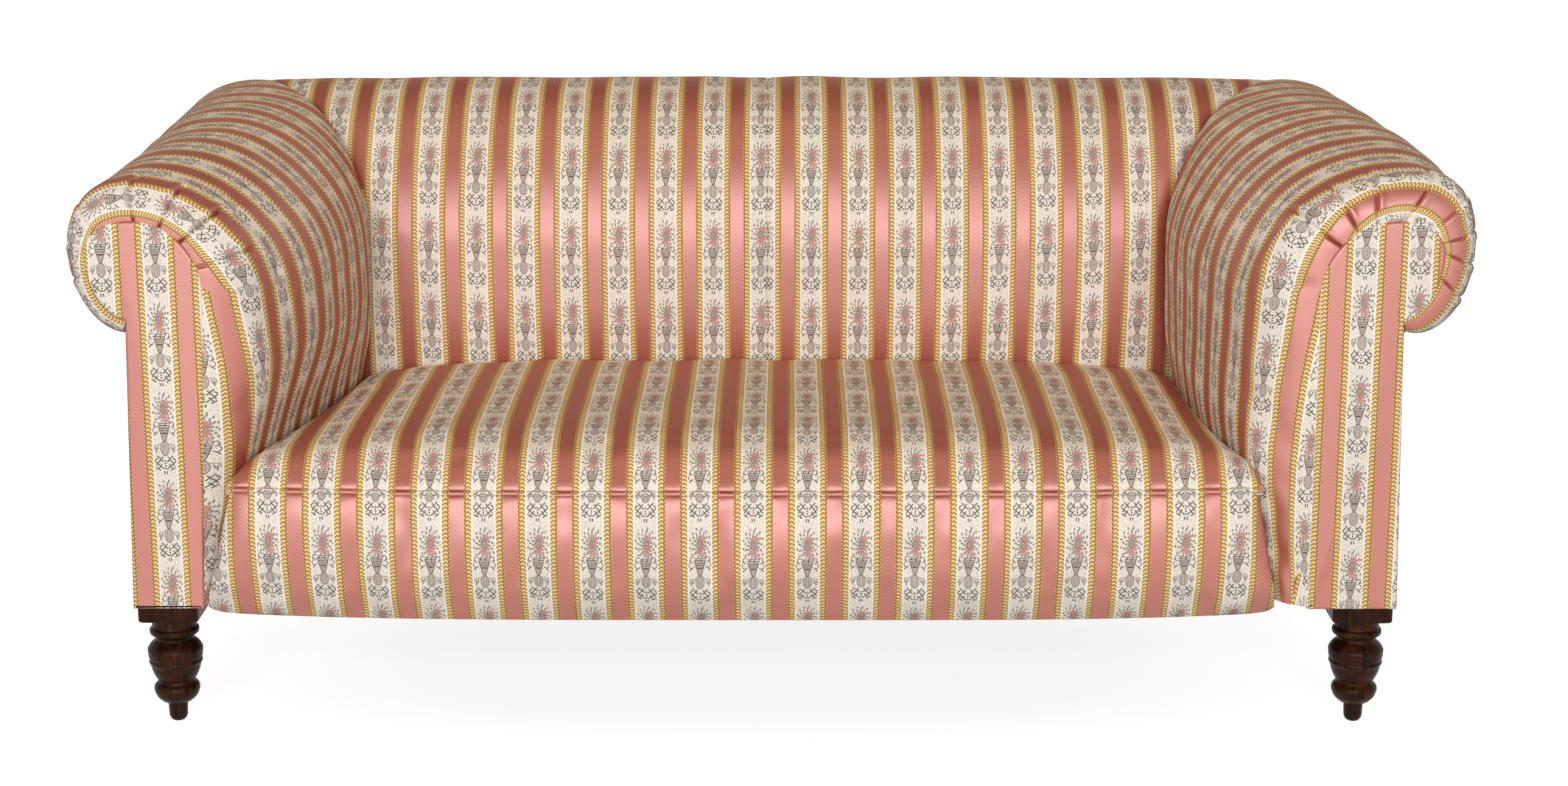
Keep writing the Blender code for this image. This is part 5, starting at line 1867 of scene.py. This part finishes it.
@dataclass
class Studio:
    """Pale floor, soft light from the front and the camera at the photograph's angle."""

    front: float
    distance: float = 3.541
    height: float = 1.2998
    aside: float = 0.03
    pitch: float = math.radians(13.32)
    yaw: float = math.radians(0.085)
    lens: float = 65.68
    sensor: float = 36.0
    floor_half: float = 40.0
    floor_colour: Colour = linear(176, 176, 176)
    shade_reach: tuple[float, float] = (1.0, 0.62)
    shade_y: float = -0.1
    shade_edge: tuple[float, float] = (0.85, 0.75)
    floor_glow: float = 0.80
    ambient: float = 0.15
    ceiling: Colour = (0.12, 0.11, 0.10)
    ceiling_edge: tuple[float, float] = (0.45, 0.25)
    lamps: tuple[Lamp, ...] = (
        Lamp("key", (-0.2, -5.4, 1.85), (0.0, 0.0, 0.45), (5.0, 1.9), 245.0),
        Lamp("top", (0.0, -0.6, 3.4), (0.0, 0.0, 0.5), (3.0, 2.0), 20.0, WARM),
        Lamp("rear", (0.0, 4.6, 2.2), (0.0, 0.0, 0.5), (5.0, 1.2), 80.0, WARM, mirrored=False),
    )

    def build_camera(self) -> None:
        """Makes the camera."""
        data = bpy.data.cameras.new("camera")
        data.lens = self.lens
        data.sensor_width = self.sensor
        camera = bpy.data.objects.new("camera", data)
        camera.location = (self.aside, self.front - self.distance, self.height)
        camera.rotation_euler = (math.pi / 2 - self.pitch, 0.0, self.yaw)
        bpy.context.scene.collection.objects.link(camera)
        bpy.context.scene.camera = camera

    def build_floor(self) -> None:
        """Makes the floor: a wide sheet that shows white, apart from the shadow under the sofa."""
        edge = np.linspace(-self.floor_half, self.floor_half, 3)
        x, y = np.meshgrid(edge, edge, indexing="ij")
        points = np.stack((x, y, np.zeros_like(x)), axis=2).reshape(-1, 3)
        mesh = bpy.data.meshes.new("floor")
        mesh.from_pydata(points.tolist(), [], grid_quads(3, 3).tolist())
        floor = bpy.data.objects.new("floor", mesh)
        bpy.context.scene.collection.objects.link(floor)
        recipe = Recipe("pale_floor")
        across, deep, _ = recipe.split(recipe.object_place())
        away = (across / self.shade_reach[0]).hypot((deep - self.shade_y) / self.shade_reach[1])
        glow = self.floor_glow + (1 - self.floor_glow) * away.above(*self.shade_edge)
        shader = recipe.surface({
            "Base Color": self.floor_colour,
            "Roughness": 0.9,
            "Specular IOR Level": 0.1,
            "Emission Color": recipe.mix(recipe.seen() * glow, BLACK, WHITE),
            "Emission Strength": 1.0,
        })
        mesh.materials.append(recipe.finish(shader))

    def build_world(self) -> None:
        """Makes the surroundings: an even warm light, white where seen near the horizon and dim overhead."""
        recipe = Recipe("surroundings", "worlds")
        _, _, height = recipe.split(recipe.object_place())
        looks = recipe.mix(height.above(*self.ceiling_edge), WHITE, self.ceiling)
        white = recipe.node("ShaderNodeBackground", {}, {"Color": looks, "Strength": 1.0})
        felt = recipe.node("ShaderNodeBackground", {}, {"Color": WARM, "Strength": self.ambient})
        inputs = {0: recipe.seen(), 1: felt.outputs[0], 2: white.outputs[0]}
        mixed = recipe.node("ShaderNodeMixShader", {}, inputs)
        recipe.node("ShaderNodeOutputWorld", {}, {"Surface": mixed.outputs[0]})
        bpy.context.scene.world = recipe.owner

    def build(self) -> None:
        """Makes the whole set."""
        bpy.context.scene.view_settings.view_transform = "Standard"
        self.build_camera()
        self.build_floor()
        self.build_world()
        for lamp in self.lamps:
            lamp.build()


# Degrees round the scroll and strength of each pleat
LEFT_PLEATS = ((91.0, 0.9), (128.0, 1.1), (156.0, 1.2), (181.0, 0.8), (40.0, 0.4), (5.0, 0.4), (-25.0, 0.5))
RIGHT_PLEATS = (
    (160.0, 1.3), (137.0, 1.2), (109.0, 1.1), (66.0, 0.7),
    (38.0, 0.5), (14.0, 0.6), (-10.0, 0.6), (-35.0, 0.6),
)
# Degrees round the scroll, and millimetres of cloth across the stripes at the seam and at the fold
LEFT_WEAVE = (
    (250.0, -68.0, -42.0), (243.0, -69.0, -34.0), (235.0, -71.0, -21.0), (227.0, -71.0, -7.0),
    (217.0, -69.0, 6.0), (207.0, -60.0, 14.0), (198.0, -48.0, 18.0), (190.0, -40.0, 21.0),
    (182.0, -35.0, 24.0), (174.0, -32.0, 30.0), (166.0, -32.0, 35.0), (142.0, -31.0, 38.0),
    (106.0, -31.0, 37.0), (77.0, -31.0, 38.0), (53.0, -30.0, 37.0), (24.0, -20.0, 37.0),
    (2.0, -20.0, 32.0), (-16.0, -23.0, 28.0), (-40.0, -25.0, 26.0),
)
RIGHT_WEAVE = (
    (245.0, -78.0, 9.0), (241.0, -77.0, 10.0), (236.0, -74.0, 12.0), (230.0, -68.0, 12.0),
    (224.0, -65.0, 17.0), (216.0, -60.0, 18.0), (206.0, -50.0, 25.0), (195.0, -44.0, 29.0),
    (182.0, -40.0, 25.0), (169.0, -40.0, 19.0), (155.0, -44.0, 15.0), (137.0, -53.0, 12.0),
    (107.0, -62.0, 4.0), (80.0, -66.0, 3.0), (63.0, -66.0, 8.0), (48.0, -64.0, 11.0),
    (23.0, -54.0, 16.0), (0.0, -54.0, 16.0), (-40.0, -50.0, 20.0),
)
LEFT_FIT = ArmFit(
    draw_in=0.24, draw_in_z=0.50, outer=0.078, facing_wall=0.0255,
    facing_draw_in=0.038, facing_draw_in_z=0.60, low_turn_in=1.4,
)
RIGHT_FIT = ArmFit(
    wall=0.108, draw_in=0.19, draw_in_z=0.36, outer=0.095, crest=0.095, facing_wall=0.033,
    facing_draw_in=0.0, crest_rise=0.089, over_turn_in=0.95, over_fullness=2.45, bow=3.2,
)


def main() -> None:
    """Builds every piece in order and reports it."""
    logging.basicConfig(level=logging.INFO, format="%(message)s")
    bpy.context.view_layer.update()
    left, right = Plan.read(LEFT_FIT), Plan.read(RIGHT_FIT)
    cloth = StripedSatin().material()
    Carcase().build()
    Arm(left, Side.LEFT, LEFT_PLEATS, LEFT_WEAVE, drawing_z=0.555).build(cloth)
    Arm(right, Side.RIGHT, RIGHT_PLEATS, RIGHT_WEAVE, drawing_z=0.540).build(cloth)
    BackHalf(left, Side.LEFT, stretch=1.0087, lead=-0.0099).build(cloth)
    BackHalf(right, Side.RIGHT, stretch=1.0177, lead=0.0046).build(cloth)
    seat = Seat(right, left)
    seat.build_top(cloth)
    seat.build_border(cloth)
    seat.build_welt(cloth)
    Facing(left, Side.LEFT, stripe_at=-0.766, drawing_z=0.585).build(cloth)
    Facing(right, Side.RIGHT, stripe_at=0.756, drawing_z=0.608).build(cloth)
    wood = PolishedMahogany().material()
    for side in Side:
        FrontLeg(side).build(wood)
    OutsideCover().build(cloth)
    DustCover().build(PlainWeave("black_lining", linear(24, 24, 25), linear(52, 51, 50)).material())
    Studio(front=right.front).build()


if __name__ == "__main__":
    main()
